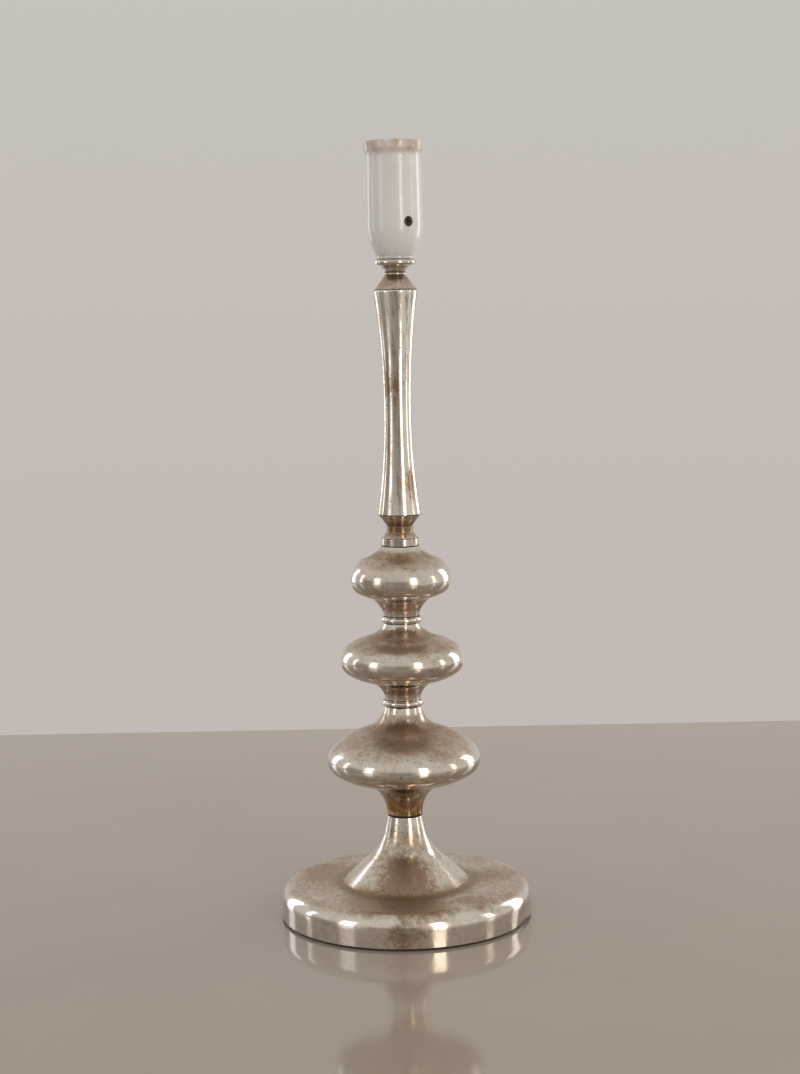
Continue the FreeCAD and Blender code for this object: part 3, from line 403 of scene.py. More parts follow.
def doubled(points):
    """One round of the four-point rule on curved runs."""
    fine = []
    count = len(points)
    for i, here in enumerate(points):
        fine.append(here)
        before, after, beyond = (points[(i + k) % count] for k in (-1, 1, 2))
        runs = [(here - before).length, (after - here).length, (beyond - after).length]
        turns = [turn_at(before, here, after), turn_at(here, after, beyond)]
        curved = min(turns) > 0 or max(turns) < 0
        gentle = max(abs(t) for t in turns) < GENTLE
        if curved and gentle and max(runs) < EVEN * min(runs):
            fine.append((here + after) * 9 / 16 - (before + beyond) / 16)
    return fine


def held(points):
    """Straight runs get a point close to each end, and are cut into short steps."""
    firm = []
    for here, after in zip(points, points[1:] + points[:1]):
        firm.append(here)
        run = after - here
        if run.length > LONG_RUN:
            step = run.normalized() * HOLD
            parts = math.ceil(run.length / STEP)
            firm += [here + step] + [here + run * k / parts for k in range(1, parts)]
            firm.append(after - step)
    return firm


def lathe_outline(node, edge=0.15, to_axis=None):
    """Finished half section of a node, in mm."""
    return held(softened(doubled(half_section(node, to_axis)), edge))


print("finished:", len(lathe_outline("base_shell")), "points")

# %% [markdown]
# ## Where dirt gathers
#
# A cloth polishes what stands out and never reaches a joint between two pieces or a tight
# hollow. So each outline point gets three numbers before it is spun: "grime", near 1 at a
# joint, "hollow", near 1 in a tight cove, and "polish", near 1 on a crest. The joints are
# the rings where two neighbours of the stack meet, at the smaller of their two radii. A
# cloth still reaches the hollows of a small ring and of the wide foot, so a limit can hold
# a piece's hollows down.

# %% Joints of the stack
STACK = ["base_shell", "base_neck_ring", "lower_knop", "lower_bead_ring", "middle_knop",
         "upper_bead_ring", "upper_knop", "shaft_collar", "shaft_foot", "waisted_shaft",
         "shaft_cap", "holder_dish", "holder_housing"]
WEAR = ("grime", "hollow", "polish")
JOINT_REACH = 0.35  # mm over which the dirt of a joint fades
BEND_REACH = 4.0  # mm to each side over which a bend is measured
FULL_HOLLOW = math.radians(80)  # a bend inwards that counts as a full hollow
FULL_CREST = math.radians(60)  # a bend outwards that counts as a full crest


def outer_radius(points, level):
    """Largest radius of an outline at a height."""
    return max(p.x for p in points if abs(p.y - level) < HOLD)


sections = {node: half_section(node) for node in STACK}
joints = []
for below, above in zip(STACK, STACK[1:]):
    shared = [p.y for p in sections[below]
              if min(abs(p.y - q.y) for q in sections[above]) < HOLD / 4]
    level = max(shared, key=lambda z: min(outer_radius(sections[below], z),
                                          outer_radius(sections[above], z)))
    joints.append(Vector((min(outer_radius(sections[n], level) for n in (below, above)), level)))
print("joints at", [round(j.y, 1) for j in joints], "mm")

# %% Wear of an outline
def reached(points, i, step):
    """Place on the outline BEND_REACH before or after a point, for a step of -1 or 1."""
    here, left = points[i % len(points)], BEND_REACH
    while True:
        ahead = points[(i + step) % len(points)]
        run = (ahead - here).length
        if run >= left:
            return here + (ahead - here) * left / run
        here, left, i = ahead, left - run, i + step


def bend(points, i):
    """Turn of the outline over a few millimetres round a point, positive where it bulges."""
    return -turn_at(reached(points, i, -1), points[i], reached(points, i, 1))


def wear(points, deepest):
    """Grime, hollow and polish, 0 to 1, of each outline point."""
    rows = []
    for i, here in enumerate(points):
        joint = max(math.exp(-(here - ring).length / JOINT_REACH) for ring in joints)
        turn = bend(points, i)
        rows.append((joint, min(max(-turn / FULL_HOLLOW, 0.0), deepest),
                     min(max(turn / FULL_CREST, 0.0), 1.0)))
    return zip(*rows)


def outline_mesh(name, points, deepest=1.0):
    """Outline as a mesh of loose points in metres in the XZ plane, with its wear."""
    points = [Vector(p) for p in points]
    mesh = bpy.data.meshes.new(name)
    mesh.from_pydata([(p.x * MM, 0, p.y * MM) for p in points], [], [])
    for key, values in zip(WEAR, wear(points, deepest)):
        mesh.attributes.new(key, "FLOAT", "POINT").data.foreach_set("value", values)
    return mesh


print("wear of", len(sections["lower_knop"]), "points of the lower knop")

# %% [markdown]
# ## The lathe
#
# Spinning is a rule, so Geometry Nodes do it. A grid has one row of points for each outline
# point and one column for each step round. Each grid point looks up its row's radius and
# height and its column's angle and moves there. Merging by distance closes the seam, the
# loop and any pole. Edges sharper than the limit stay sharp, and all others shade smooth.

# %% Start and finish of a tree
PER_POINT = {"data_type": "FLOAT", "domain": "POINT"}
HERE, MOVE = "GeometryNodeInputPosition", "GeometryNodeSetPosition"
STORED, SAMPLE = "GeometryNodeInputNamedAttribute", "GeometryNodeSampleIndex"
SHADE = "GeometryNodeSetShadeSmooth"
LARGER = {"data_type": "FLOAT", "operation": "GREATER_THAN"}


def tree_with(name, **sockets):
    """Geometry tree with named inputs and a material, what adds its nodes, and its inputs."""
    tree = bpy.data.node_groups.new(name, "GeometryNodeTree")
    for label, kind in {"Geometry": "Geometry", **sockets, "Material": "Material"}.items():
        tree.interface.new_socket(label.replace("_", " "), in_out="INPUT",
                                  socket_type="NodeSocket" + kind)
    tree.interface.new_socket("Geometry", in_out="OUTPUT", socket_type="NodeSocketGeometry")
    return tree, functools.partial(add, tree), tree.nodes.new("NodeGroupInput").outputs


def finish_tree(put, given, geometry):
    """Every tree ends in real geometry with its material."""
    real = put("GeometryNodeRealizeInstances", geometry)
    painted = put("GeometryNodeSetMaterial", {"Geometry": real, "Material": given["Material"]})
    put("NodeGroupOutput", painted)


def finish_moved(put, given, way, how_far):
    """Some trees only move each point along a vector."""
    move = put(VECTOR, way, {"Scale": how_far}, operation="SCALE")
    finish_tree(put, given, put(MOVE, {"Geometry": given["Geometry"], "Offset": move}))


print("every tree ends in Realize Instances and Set Material")

# %% Lathe tree
lathe, put, given = tree_with("lathe", Segments="Int", Sharp_Angle="Float")
outline = given["Geometry"]
count = put("GeometryNodeAttributeDomainSize", outline, component="MESH").outputs["Point Count"]
around = put(MATH, given["Segments"], 1.0, operation="ADD")
closed = put(MATH, count, 1.0, operation="ADD")
grid = put("GeometryNodeMeshGrid", {"Vertices X": closed, "Vertices Y": around})
index = put("GeometryNodeInputIndex")
row = put(MATH, put(MATH, index, around, operation="DIVIDE"), operation="FLOOR")
row = put(MATH, row, count, operation="MODULO")
column = put(MATH, index, around, operation="MODULO")
share = put(MATH, column, given["Segments"], operation="DIVIDE")
angle = put(MATH, share, math.tau, **TIMES)
place = put(SAMPLE, outline, put(HERE), row, data_type="FLOAT_VECTOR", domain="POINT")
carried = put("ShaderNodeVectorRotate", {"Vector": place, "Angle": angle}, rotation_type="Z_AXIS")
body = put(MOVE, {"Geometry": grid, "Position": carried})
for key in WEAR:
    value = put(STORED, {"Name": key}, data_type="FLOAT")
    value = put(SAMPLE, outline, value, row, **PER_POINT)
    body = put("GeometryNodeStoreNamedAttribute", {"Geometry": body, "Name": key, "Value": value},
               **PER_POINT)
body = put("GeometryNodeMergeByDistance", {"Geometry": body, "Distance": WELD})
edge = put("GeometryNodeInputMeshEdgeAngle").outputs["Unsigned Angle"]
sharp = put("FunctionNodeCompare", {"A": edge, "B": given["Sharp Angle"]}, **LARGER)
body = put(SHADE, body, {"Shade Smooth": True}, domain="FACE")
smooth = put("FunctionNodeBooleanMath", sharp, operation="NOT")
body = put(SHADE, body, {"Shade Smooth": smooth}, domain="EDGE")
finish_tree(put, given, body)
print("lathe tree:", len(lathe.nodes), "nodes")

# %% [markdown]
# A tree only works through a modifier. This helper puts a mesh in an object, sets the
# tree's inputs by their identifiers, takes the result as a plain mesh and drops the
# modifier. Spinning can leave faces inside out, so the normals of each closed piece are
# worked out again.

# %% Run a tree
SLOTS = {part["node"]: part["material_slot"] for part in frame["record"]["subparts"]}
SHARP = math.radians(38)  # an edge that bends more than this stays sharp


def grown(name, mesh, tree, **values):
    """Object with the result of a tree on a mesh."""
    piece = bpy.data.objects.new(name, mesh)
    scene.collection.objects.link(piece)
    modifier = piece.modifiers.new(tree.name, "NODES")
    modifier.node_group = tree
    for socket in tree.interface.items_tree:
        label = socket.name.replace(" ", "_")
        if socket.in_out == "INPUT" and label in values:
            modifier[socket.identifier] = values[label]
    ready = piece.evaluated_get(bpy.context.evaluated_depsgraph_get())
    piece.data = bpy.data.meshes.new_from_object(ready)
    piece.data.name = name
    piece.modifiers.clear()
    bpy.data.meshes.remove(mesh)
    return piece


def outward(piece):
    """Normals of a closed piece worked out again."""
    mesh = bmesh.new()
    mesh.from_mesh(piece.data)
    bmesh.ops.recalc_face_normals(mesh, faces=mesh.faces)
    mesh.to_mesh(piece.data)
    mesh.free()
    return piece


def spun(name, points, material, segments, deepest=1.0, sharp=SHARP):
    """Closed piece spun from an outline in mm."""
    outline = outline_mesh(name + "_outline", points, deepest)
    return outward(grown(name, outline, lathe, Segments=segments, Sharp_Angle=sharp,
                         Material=material))


def reshaped(name, blank, tree, **values):
    """What a second tree makes of a spun blank."""
    piece = grown(name, blank.data.copy(), tree, **values)
    bpy.data.objects.remove(blank)
    return outward(piece)


def stands_for(piece, node):
    """The piece rides the root body and replaces its node."""
    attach(piece, "root")
    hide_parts(node)


def turned(node, material, segments=128, edge=0.15, deepest=1.0):
    """Spin a node's outline and let it stand for the node."""
    points = lathe_outline(node, edge)
    stands_for(spun(node + "_turned", points, material, segments, deepest), node)


print("material slots:", sorted(set(SLOTS.values())))

# %% [markdown]
# ## Worn silver plate
#
# The lamp is brass with a thin coat of silver, polished on a lathe. Polished plate mirrors
# the room in clear bands. Age adds three things: a thin brown sulphide film, thickest on
# surfaces that look up and in hollows; dark specks where the coat is pitted; and dull
# grime in the joints. The film's brown on surfaces that look up is partly a painted
# reflection of a dark ceiling, and in patches at the front a painted reflection of the dark
# room behind the camera. Where the coat has worn through, the brass shows warm.
#
# All heights of the bump are in millimetres: waves of 9 mm from spinning the sheet,
# rings of the polishing wheel (0.1 mm on the real one, drawn at 0.8 mm so that they
# show), and shallow pits. The shaft was wiped lengthwise, so its film runs in streaks.

# %% Film of the plate
PATCH, MOTTLE = 18, 3  # mm, grains of the film
STREAK = 1.9  # mm, width of a streak
DRAWN_OUT = (1.0, 1.0, 0.04)  # makes the noise of the streaks 25 times as long as wide
RAGGED = 16  # mm that chance moves a stain's edge
LEVEL = (0.55, 0.95)  # upward part of the normal where film, and its painted reflection of a dark ceiling, start and are full
# Stains that time left, and at the front of the foot, the coves and the shaft painted
# reflections of the dark room behind the camera: place and reach, in mm from the table's
# centre, and how far each pulls the film
STAINS_AND_PAINTED_REFLECTIONS = [((0, -26, 25), 20, 0.75), ((-38, 16, 17), 22, 0.70), ((-14, -42, 17), 22, 0.55),
          ((33, -40, 16), 12, 0.50), ((8, -50, 17), 20, 0.40), ((42, 4, 17), 18, 0.30),
          ((0, -10, 42), 15, 0.30), ((-2, -64, 8), 13, 0.40), ((-3.5, -6.6, 273), 9, 0.45),
          ((6, -7.4, 224), 10, 0.45)]


def plate_film(put, place, mottle, hollow, polish, film, streaks):
    """Share of brown film and painted reflection, and how level the surface is.

    Hollows, level surfaces, stains and chance draw the film, and crests shed it. On level
    surfaces the brown is partly a painted reflection of a dark ceiling, and at the front stains
    partly a painted reflection of the dark room behind the camera.
    """
    facing = put(SPLIT, put("ShaderNodeNewGeometry").outputs["Normal"])
    # Painted reflection: level surfaces draw film that stands partly for the reflection of a dark
    # ceiling
    up = put(RANGE, facing.outputs["Z"], *LEVEL, **SOFT)
    broad = put(NOISE, {"Vector": place, "Scale": 1 / (PATCH * MM), "Detail": 5.0,
                        "Roughness": 0.6})
    stain_and_painted_reflection = weighed(put, 0.0, (broad, 0.8), (mottle, 0.7), (up, 0.34), (hollow, 0.75),
                    (polish, -0.04))
    if streaks:
        drawn_out = put(VECTOR, place, DRAWN_OUT, **TIMES)
        streak = put(NOISE, {"Vector": drawn_out, "Scale": 1 / (STREAK * MM), "Detail": 3.0})
        streak = put(RANGE, streak, 0.3, 0.7, -streaks, streaks, **SOFT)
        stain_and_painted_reflection = put(MATH, stain_and_painted_reflection, streak, operation="ADD")
    # The stains at the front are partly painted reflection of the dark room behind the camera
    for centre, reach, pull in STAINS_AND_PAINTED_REFLECTIONS:
        away = put(VECTOR, place, tuple(c * MM for c in centre), operation="DISTANCE")
        ragged = weighed(put, away.outputs["Value"], (mottle, -RAGGED * MM))
        near = put(RANGE, ragged, (reach - RAGGED / 2) * MM, -RAGGED / 2 * MM, 0.0, pull, **SOFT)
        stain_and_painted_reflection = put(MATH, stain_and_painted_reflection, near, operation="ADD")
    return put(RANGE, stain_and_painted_reflection, 1.05 - film, 1.85 - film, **SOFT), up


print("a scale of", round(1 / (PATCH * MM)), "gives noise grains of", PATCH, "mm")

# %% [markdown]
# Specks sit in some cells of a Voronoi pattern, at a distance from the cell's point that
# differs from cell to cell. A cell is picked where its own random number is below the
# density, and the density rises with the film.

# %% Specks of pitted plate
SPECK_CELL = 0.9  # mm


def plate_specks(put, place, film_and_painted_reflection_share, hollow):
    cells = put(CELLS, {"Vector": place, "Scale": 1 / (SPECK_CELL * MM)})
    chance = put("ShaderNodeSeparateColor", cells.outputs["Color"])
    density = weighed(put, 0.012, (film_and_painted_reflection_share, 0.22), (hollow, 0.25))
    picked = put(MATH, chance.outputs["Red"], density, operation="LESS_THAN")
    reach = weighed(put, 0.15, (chance.outputs["Green"], 0.35))
    inside = put(MATH, reach, cells.outputs["Distance"], operation="SUBTRACT")
    return put(MATH, picked, put(RANGE, inside, 0.0, 0.06, **SOFT), **TIMES)


print("specks sit in cells of", SPECK_CELL, "mm")

# %% [markdown]
# Now the parts meet. The film browns the silver and dulls it, specks and the grime of the
# joints cover it, and the lathe and the years give it relief.

# %% Worn plate
WHEEL_RING, SPUN_WAVE = 0.8, 9  # mm, relief of the polishing wheel and of spinning
BITTEN = 7  # mm that chance moves the edge of bare brass
BARE_FOOT, BARE_TOP = (-2, 0), (11, 5)  # mm from the worn height, where brass starts, is full


def silver_plate(name, film=0.5, streaks=0.0, worn_at=None):
    """Film moves the balance from bright to brown, and streaks add bands along the piece.

    worn_at is the height in mm where the plate is worn through.
    """
    material, put, place = new_material(name)
    grime, hollow, polish = (put(ATTRIBUTE, attribute_name=key).outputs["Fac"] for key in WEAR)
    mottle = put(NOISE, {"Vector": place, "Scale": 1 / (MOTTLE * MM), "Detail": 5.0,
                         "Roughness": 0.7})
    film_and_painted_reflection_share, up = plate_film(put, place, mottle, hollow, polish, film, streaks)
    tarnish = put(MATH, film_and_painted_reflection_share, hollow, **TIMES)
    # The film's brown is partly painted reflection, on level surfaces and at the front stains
    colour = layered(put, linear("#E2DDD6"), (film_and_painted_reflection_share, "#A08A76"), (tarnish, "#745A42"))
    parts, flat = flattened(put, place)
    if worn_at is not None:
        ragged = weighed(put, parts["Z"], (mottle, BITTEN * MM))
        above, below = (put(RANGE, ragged, *((worn_at + end) * MM for end in ends), **SOFT)
                        for ends in (BARE_FOOT, BARE_TOP))
        bare = put(MATH, above, below, **TIMES)
        bare = put(MATH, bare, put(RANGE, mottle, 0.32, 0.52, **SOFT), **TIMES)
        colour = layered(put, colour, (bare, "#A5814C"))

    speck = plate_specks(put, place, film_and_painted_reflection_share, hollow)
    dirt = put(RANGE, weighed(put, grime, (mottle, 0.5)), 0.70, 0.88, **SOFT)
    cover = put(MATH, put(MATH, speck, 0.75, **TIMES), dirt, operation="MAXIMUM")
    colour = layered(put, colour, (cover, "#2E2118"))
    level_film = put(MATH, up, film_and_painted_reflection_share, **TIMES)
    matt = weighed(put, 0.11, (film_and_painted_reflection_share, 0.14), (polish, -0.04), (level_film, 0.14),
                   (cover, 0.4))
    metal = weighed(put, 1.0, (cover, -0.5), (level_film, -0.25))

    # The wheel's rings run round the piece, so they follow the radius and the height only
    radius = put(VECTOR, flat, operation="LENGTH").outputs["Value"]
    ring_place = put(JOIN, radius, 0.0, parts["Z"])
    rings = put(NOISE, {"Vector": ring_place, "Scale": 1 / (WHEEL_RING * MM), "Detail": 2.0})
    waves = put(NOISE, {"Vector": place, "Scale": 1 / (SPUN_WAVE * MM), "Detail": 1.0})
    height_mm = weighed(put, 0.0, (rings, 0.002), (waves, 0.06), (mottle, 0.02),
                        (speck, -0.012))
    bump = put(BUMP, {"Height": height_mm, "Distance": MM})
    dress(material, Base_Color=colour, Roughness=matt, Metallic=metal, Normal=bump)
    return material


# The foot: half bright, with film in patches
plate = silver_plate("worn_silver_plate")
# The middle and upper knop and the dish: more film, so warmer
plate_brown = silver_plate("worn_silver_plate_browner", film=0.56)
# The bead rings: rubbed bright
plate_bright = silver_plate("worn_silver_plate_brighter", film=0.36)
# The small pieces at the shaft's ends: brown nearly all over
plate_tarnished = silver_plate("worn_silver_plate_tarnished", film=0.74)
# The shaft: film in streaks, as it was wiped
plate_streaked = silver_plate("worn_silver_plate_wiped_lengthwise", film=0.48, streaks=0.38)
# The lowest knop: worn through to the brass at its foot, over the gap ring
plate_through = silver_plate("worn_silver_plate_brass_showing", film=0.58,
                             worn_at=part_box("base_neck_ring")[1].z / MM)
print("plate finishes:", sum(m.name.startswith("worn") for m in bpy.data.materials))

# %% [markdown]
# ## The turned stack
#
# Each piece that shows is spun from its own outline. The wider the piece, the more steps
# it gets round.

# %% Spin the metal pieces
turned("lower_knop", plate_through, segments=224)
turned("lower_bead_ring", plate_bright, deepest=0.0)
turned("middle_knop", plate_brown, segments=224)
turned("upper_bead_ring", plate_bright, deepest=0.0)
turned("upper_knop", plate_brown, segments=208)
turned("shaft_collar", plate_tarnished)
turned("shaft_foot", plate_tarnished)
turned("waisted_shaft", plate_streaked, segments=160, edge=0.25)
turned("shaft_cap", plate_tarnished)
turned("holder_dish", plate_brown)

# %% [markdown]
# ## A dent in the foot
#
# The foot has had a knock: at its right the lower edge is pushed in by 0.8 mm and up by
# 1.7 mm. A tree moves the points near one place, most at its middle.

# %% Dent tree
dent, put, given = tree_with("dent", Place="Vector", Reach="Float", Push="Vector")
away = put(VECTOR, put(HERE), given["Place"], operation="DISTANCE").outputs["Value"]
share = put(MATH, away, given["Reach"], operation="DIVIDE")
share = put(MATH, share, 2.0, operation="POWER")
share = put(MATH, put(MATH, share, -1.0, **TIMES), operation="EXPONENT")
finish_moved(put, given, given["Push"], share)
print("dent tree:", len(dent.nodes), "nodes")

# %% Foot with its dent
DENT_BEARING = math.radians(67)  # to the right of the front
DENT_REACH = 7.5  # mm
DENT_PUSH = (0.8, 1.7)  # mm inwards and upwards

out = Vector((math.sin(DENT_BEARING), -math.cos(DENT_BEARING), 0))
low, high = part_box("base_shell")
place = out * high.x + Vector((0, 0, low.z))
push = (out * -DENT_PUSH[0] + Vector((0, 0, DENT_PUSH[1]))) * MM
round_foot = spun("round_foot", lathe_outline("base_shell"), plate, 288, deepest=0.6)
foot = reshaped("base_shell_turned", round_foot, dent, Place=place, Push=push,
                Reach=DENT_REACH * MM, Material=plate)
stands_for(foot, "base_shell")
print("dent at", [round(c / MM) for c in place], "mm")

# %% [markdown]
# ## Lampholder
#
# The housing is moulded resin, an old thermoset such as urea: off-white, hard and glossy,
# browned by the bulb's heat at the mouth and dirty where it meets the dish. Moulded walls are
# never quite flat, so their reflections waver.

# %% The two screw holes
HOLE_BEARINGS = (31, 211)  # to the right of the front
HOLE_LEVEL = sum(corner.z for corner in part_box("retaining_screw")) / 2 / MM
HOLE_FLOOR = 11.0  # mm from the axis, the bottom of a hole, darkened as painted shade
HOLE_OUTLINE = [(0, 8.5), (1.55, 8.5), (1.55, 11.7), (2.55, 11.7), (2.55, 13.8), (2.95, 14.4),
                (2.95, 16.5), (0, 16.5)]


def upright_to_radius(bearing, level):
    """Matrix that lays a piece spun about Z along a radius of the lamp, at a height in mm."""
    turn = Matrix.Rotation(math.radians(bearing - 90), 4, "Z")
    lay = Matrix.Rotation(math.radians(90), 4, "Y")
    return Matrix.Translation((0, 0, level * MM)) @ turn @ lay


print("holes at", round(HOLE_LEVEL, 1), "mm")

# %% Resin
# Grain in mm and detail of the clouds, the fine grain, the blotches and the waves
RESIN_NOISE = [(9, 3.0), (1.5, 4.0), (7, 5.0), (6, 1.0)]
RESIN_CELL = 2.6  # mm, a cell that may hold a speck
SCORCHED, DUSTY = (-6, -1), (8, 3)  # mm from the mouth and the foot, start and full
HOLE_SHADE = (3.4, 2.6)  # mm from the middle of a hole's floor, where the painted shade starts and is full


def moulded_resin(name):
    material, put, place = new_material(name)
    level = put(SPLIT, place).outputs["Z"]
    foot, top = (corner.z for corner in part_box("holder_housing"))
    cloud, fine, blotch, waves = (
        put(NOISE, {"Vector": place, "Scale": 1 / (grain * MM), "Detail": detail})
        for grain, detail in RESIN_NOISE)
    # Scorched by the bulb towards the mouth, dusty towards the dish
    ends = (top + end * MM for end in SCORCHED)
    scorched = put(RANGE, weighed(put, level, (cloud, 5 * MM)), *ends, 0.0, 0.8, **SOFT)
    scorched = put(MATH, scorched, put(RANGE, blotch, 0.2, 0.75, **SOFT), **TIMES)
    ends = (foot + end * MM for end in DUSTY)
    dusty = put(RANGE, weighed(put, level, (fine, 8 * MM)), *ends, 0.0, 0.35, **SOFT)
    grime = put(ATTRIBUTE, attribute_name="grime").outputs["Fac"]
    grimy = put(RANGE, grime, 0.5, 1.1, **SOFT)
    cells = put(CELLS, {"Vector": place, "Scale": 1 / (RESIN_CELL * MM)})
    chance = put("ShaderNodeSeparateColor", cells.outputs["Color"])
    picked = put(MATH, chance.outputs["Red"], 0.12, operation="LESS_THAN")
    inside = put(MATH, cells.outputs["Distance"], 0.10, operation="LESS_THAN")
    speck = put(MATH, put(MATH, picked, inside, **TIMES), 0.6, **TIMES)
    layers = [(cloud, "#D6D8DA"), (scorched, "#AE9078"), (dusty, "#7A6C5C"),
              (grimy, "#3B3028"), (speck, "#5A4A3C")]
    # Painted shade: each hole is darkened round its floor, where shade falls in the recess
    for bearing in HOLE_BEARINGS:
        floor = upright_to_radius(bearing, HOLE_LEVEL) @ Vector((0, 0, HOLE_FLOOR * MM))
        away = put(VECTOR, place, tuple(floor), operation="DISTANCE").outputs["Value"]
        dark = put(RANGE, away, *(end * MM for end in HOLE_SHADE), 0.0, 0.95, **SOFT)
        layers.append((dark, "#2A211B"))
    colour = layered(put, linear("#E3E6E8"), *layers)
    matt = weighed(put, 0.10, (cloud, 0.12))
    height_mm = weighed(put, 0.0, (fine, 0.003), (waves, 0.06))
    bump = put(BUMP, {"Height": height_mm, "Distance": MM})
    dress(material, Base_Color=colour, Roughness=matt, Normal=bump, IOR=1.55)
    return material


resin = moulded_resin("moulded_resin")
print("resin:", len(resin.node_tree.nodes), "nodes")

# %% [markdown]
# The housing is spun like the metal, but its lip is drawn again first, because the real one
# opens in a soft curve. Then two stepped holes are cut into its side for the screws that
# hold the contact block: the front one is empty, the back one has its screw. The cutter is
# a spun piece too, with a flare that softens the hole's mouth.

# %% Housing
def without(piece, cutters):
    """Boolean difference, with the mesh made plain and the cutters removed."""
    for cutter in cutters:
        cut = piece.modifiers.new("cut", "BOOLEAN")
        cut.operation = "DIFFERENCE"
        cut.solver = "EXACT"
        cut.object = cutter
    ready = piece.evaluated_get(bpy.context.evaluated_depsgraph_get())
    piece.data = bpy.data.meshes.new_from_object(ready)
    piece.modifiers.clear()
    piece.data.shade_smooth()
    piece.data.set_sharp_from_angle(angle=SHARP)
    for cutter in cutters:
        bpy.data.objects.remove(cutter)
    return piece


LIP_STRAIGHT, LIP_FOOT = 3.4, 7.4  # mm below the mouth, where the flare ends and starts
LIP_BAND = (9.0, 1.2)  # mm below the mouth, the part of the wall drawn again
LIP_STEPS = 14
OUTSIDE = 12.6  # mm, the wall's outer side is beyond this radius


def flared(points):
    """The outline with a lip that opens in one hollow curve from the body to the mouth."""
    lowest = min(range(len(points)), key=lambda i: points[i].y)
    points = points[lowest:] + points[:lowest]
    top, edge = max(p.y for p in points), max(p.x for p in points)
    band = [i for i, p in enumerate(points)
            if p.x > OUTSIDE and top - LIP_BAND[0] < p.y < top - LIP_BAND[1]]
    waist = min(points[i].x for i in band)
    curve = []
    for step in range(LIP_STEPS + 1):
        down = LIP_BAND[0] + (LIP_BAND[1] - LIP_BAND[0]) * step / LIP_STEPS
        share = min(max((LIP_FOOT - down) / (LIP_FOOT - LIP_STRAIGHT), 0.0), 1.0)
        curve.append(Vector((waist + (edge - waist) * share ** 2 * (3 - 2 * share), top - down)))
    return points[:band[0]] + curve + points[band[-1] + 1:]


drills = []
for bearing in HOLE_BEARINGS:
    drill = spun("drill", HOLE_OUTLINE, resin, 48)
    drill.data.transform(upright_to_radius(bearing, HOLE_LEVEL))
    drills.append(drill)
points = flared(lathe_outline("holder_housing", edge=0.3))
housing = without(spun("holder_housing_turned", points, resin, 192), drills)
stands_for(housing, "holder_housing")
print("housing:", len(housing.data.polygons), "faces")

# %% [markdown]
# ## Small finishes
#
# The other materials share one recipe: two tones that drift over patches, a gloss that
# drifts with them, and relief of a real grain size. What differs is what each is.

# %% Recipe for small finishes
def drifting(name, tones, patch, grain, relief, gloss, metal=0.0, sheen=0.0):
    """Two tones over patches and a grain (mm), relief in mm, gloss as a roughness range."""
    material, put, place = new_material(name)
    drift = put(NOISE, {"Vector": place, "Scale": 1 / (patch * MM), "Detail": 4.0})
    grains = put(NOISE, {"Vector": place, "Scale": 1 / (grain * MM), "Detail": 3.0})
    share = put(RANGE, weighed(put, drift, (grains, 0.4)), 0.5, 0.9, **SOFT)
    colour = layered(put, linear(tones[0]), (share, tones[1]))
    matt = put(RANGE, share, 0.0, 1.0, *gloss)
    bump = put(BUMP, {"Height": grains, "Distance": relief * MM})
    dress(material, Base_Color=colour, Roughness=matt, Normal=bump, Metallic=metal,
          Sheen_Weight=sheen)
    return material


# Zinc-plated steel: cool grey, spangled, half bright.
zinc = drifting("zinc_plated_steel", ("#A6A6A8", "#8B8A88"), 1.2, 0.3, 0.004, (0.28, 0.42), 1.0)
# Sand-cast iron: near black, with the sand's grain.
iron = drifting("sand_cast_iron", ("#2E2D2E", "#43392F"), 9, 0.7, 0.12, (0.55, 0.75), 0.8)
# Turned brass that has dulled to brown in patches.
brass = drifting("dulled_brass", ("#C29B58", "#7B5C34"), 3, 0.4, 0.004, (0.22, 0.45), 1.0)
# Rolled phosphor bronze strip: redder, with rolling grain.
bronze = drifting("phosphor_bronze", ("#B98457", "#8E5F3C"), 2, 0.3, 0.003, (0.2, 0.35), 1.0)
# Unglazed steatite: a chalky off-white ceramic with fine pores.
ceramic = drifting("unglazed_steatite", ("#CFC8BB", "#B4AA99"), 4, 0.25, 0.01, (0.55, 0.7))
# Pressed wool felt, gone dark: matt fibres that catch light at the edge.
felt = drifting("dark_wool_felt", ("#2B231E", "#3A3029"), 3, 0.35, 0.15, (0.9, 1.0), 0.0, 0.4)
# Moulded black plastic with a fine erosion texture.
black = drifting("black_moulded_plastic", ("#1B1A19", "#242220"), 4, 0.2, 0.006, (0.35, 0.5))
# The ring in the gap over the foot's neck: near black, a little metallic.
gap = drifting("packed_grime_on_brass", ("#1C1511", "#33261A"), 2, 0.3, 0.03, (0.6, 0.8), 0.3)
print("materials:", len(bpy.data.materials))

# %% Gap ring and cord bush
turned("base_neck_ring", gap, edge=0.1)

BUSH_LEVEL = sum(corner.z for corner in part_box("cord_bush")) / 2
bush_upright = Matrix.Rotation(math.radians(90), 4, "X") @ Matrix.Translation((0, 0, -BUSH_LEVEL))
points = lathe_outline("cord_bush", edge=0.3, to_axis=bush_upright)
bush = spun("cord_bush_turned", points, black, 64)
bush.data.transform(bush_upright.inverted())
stands_for(bush, "cord_bush")

# %% [markdown]
# ## Thread for the bulb
#
# A bulb's thread is rolled into thin brass. The CAD has closed rings at the true pitch;
# the real thread climbs. So a plain sleeve is spun and a tree pushes each of its points out
# by a wave that climbs one pitch per turn. A weight on the outline, 1 along the thread and
# 0 at the skirt, keeps the rest round. It takes the place of the outline's "polish".

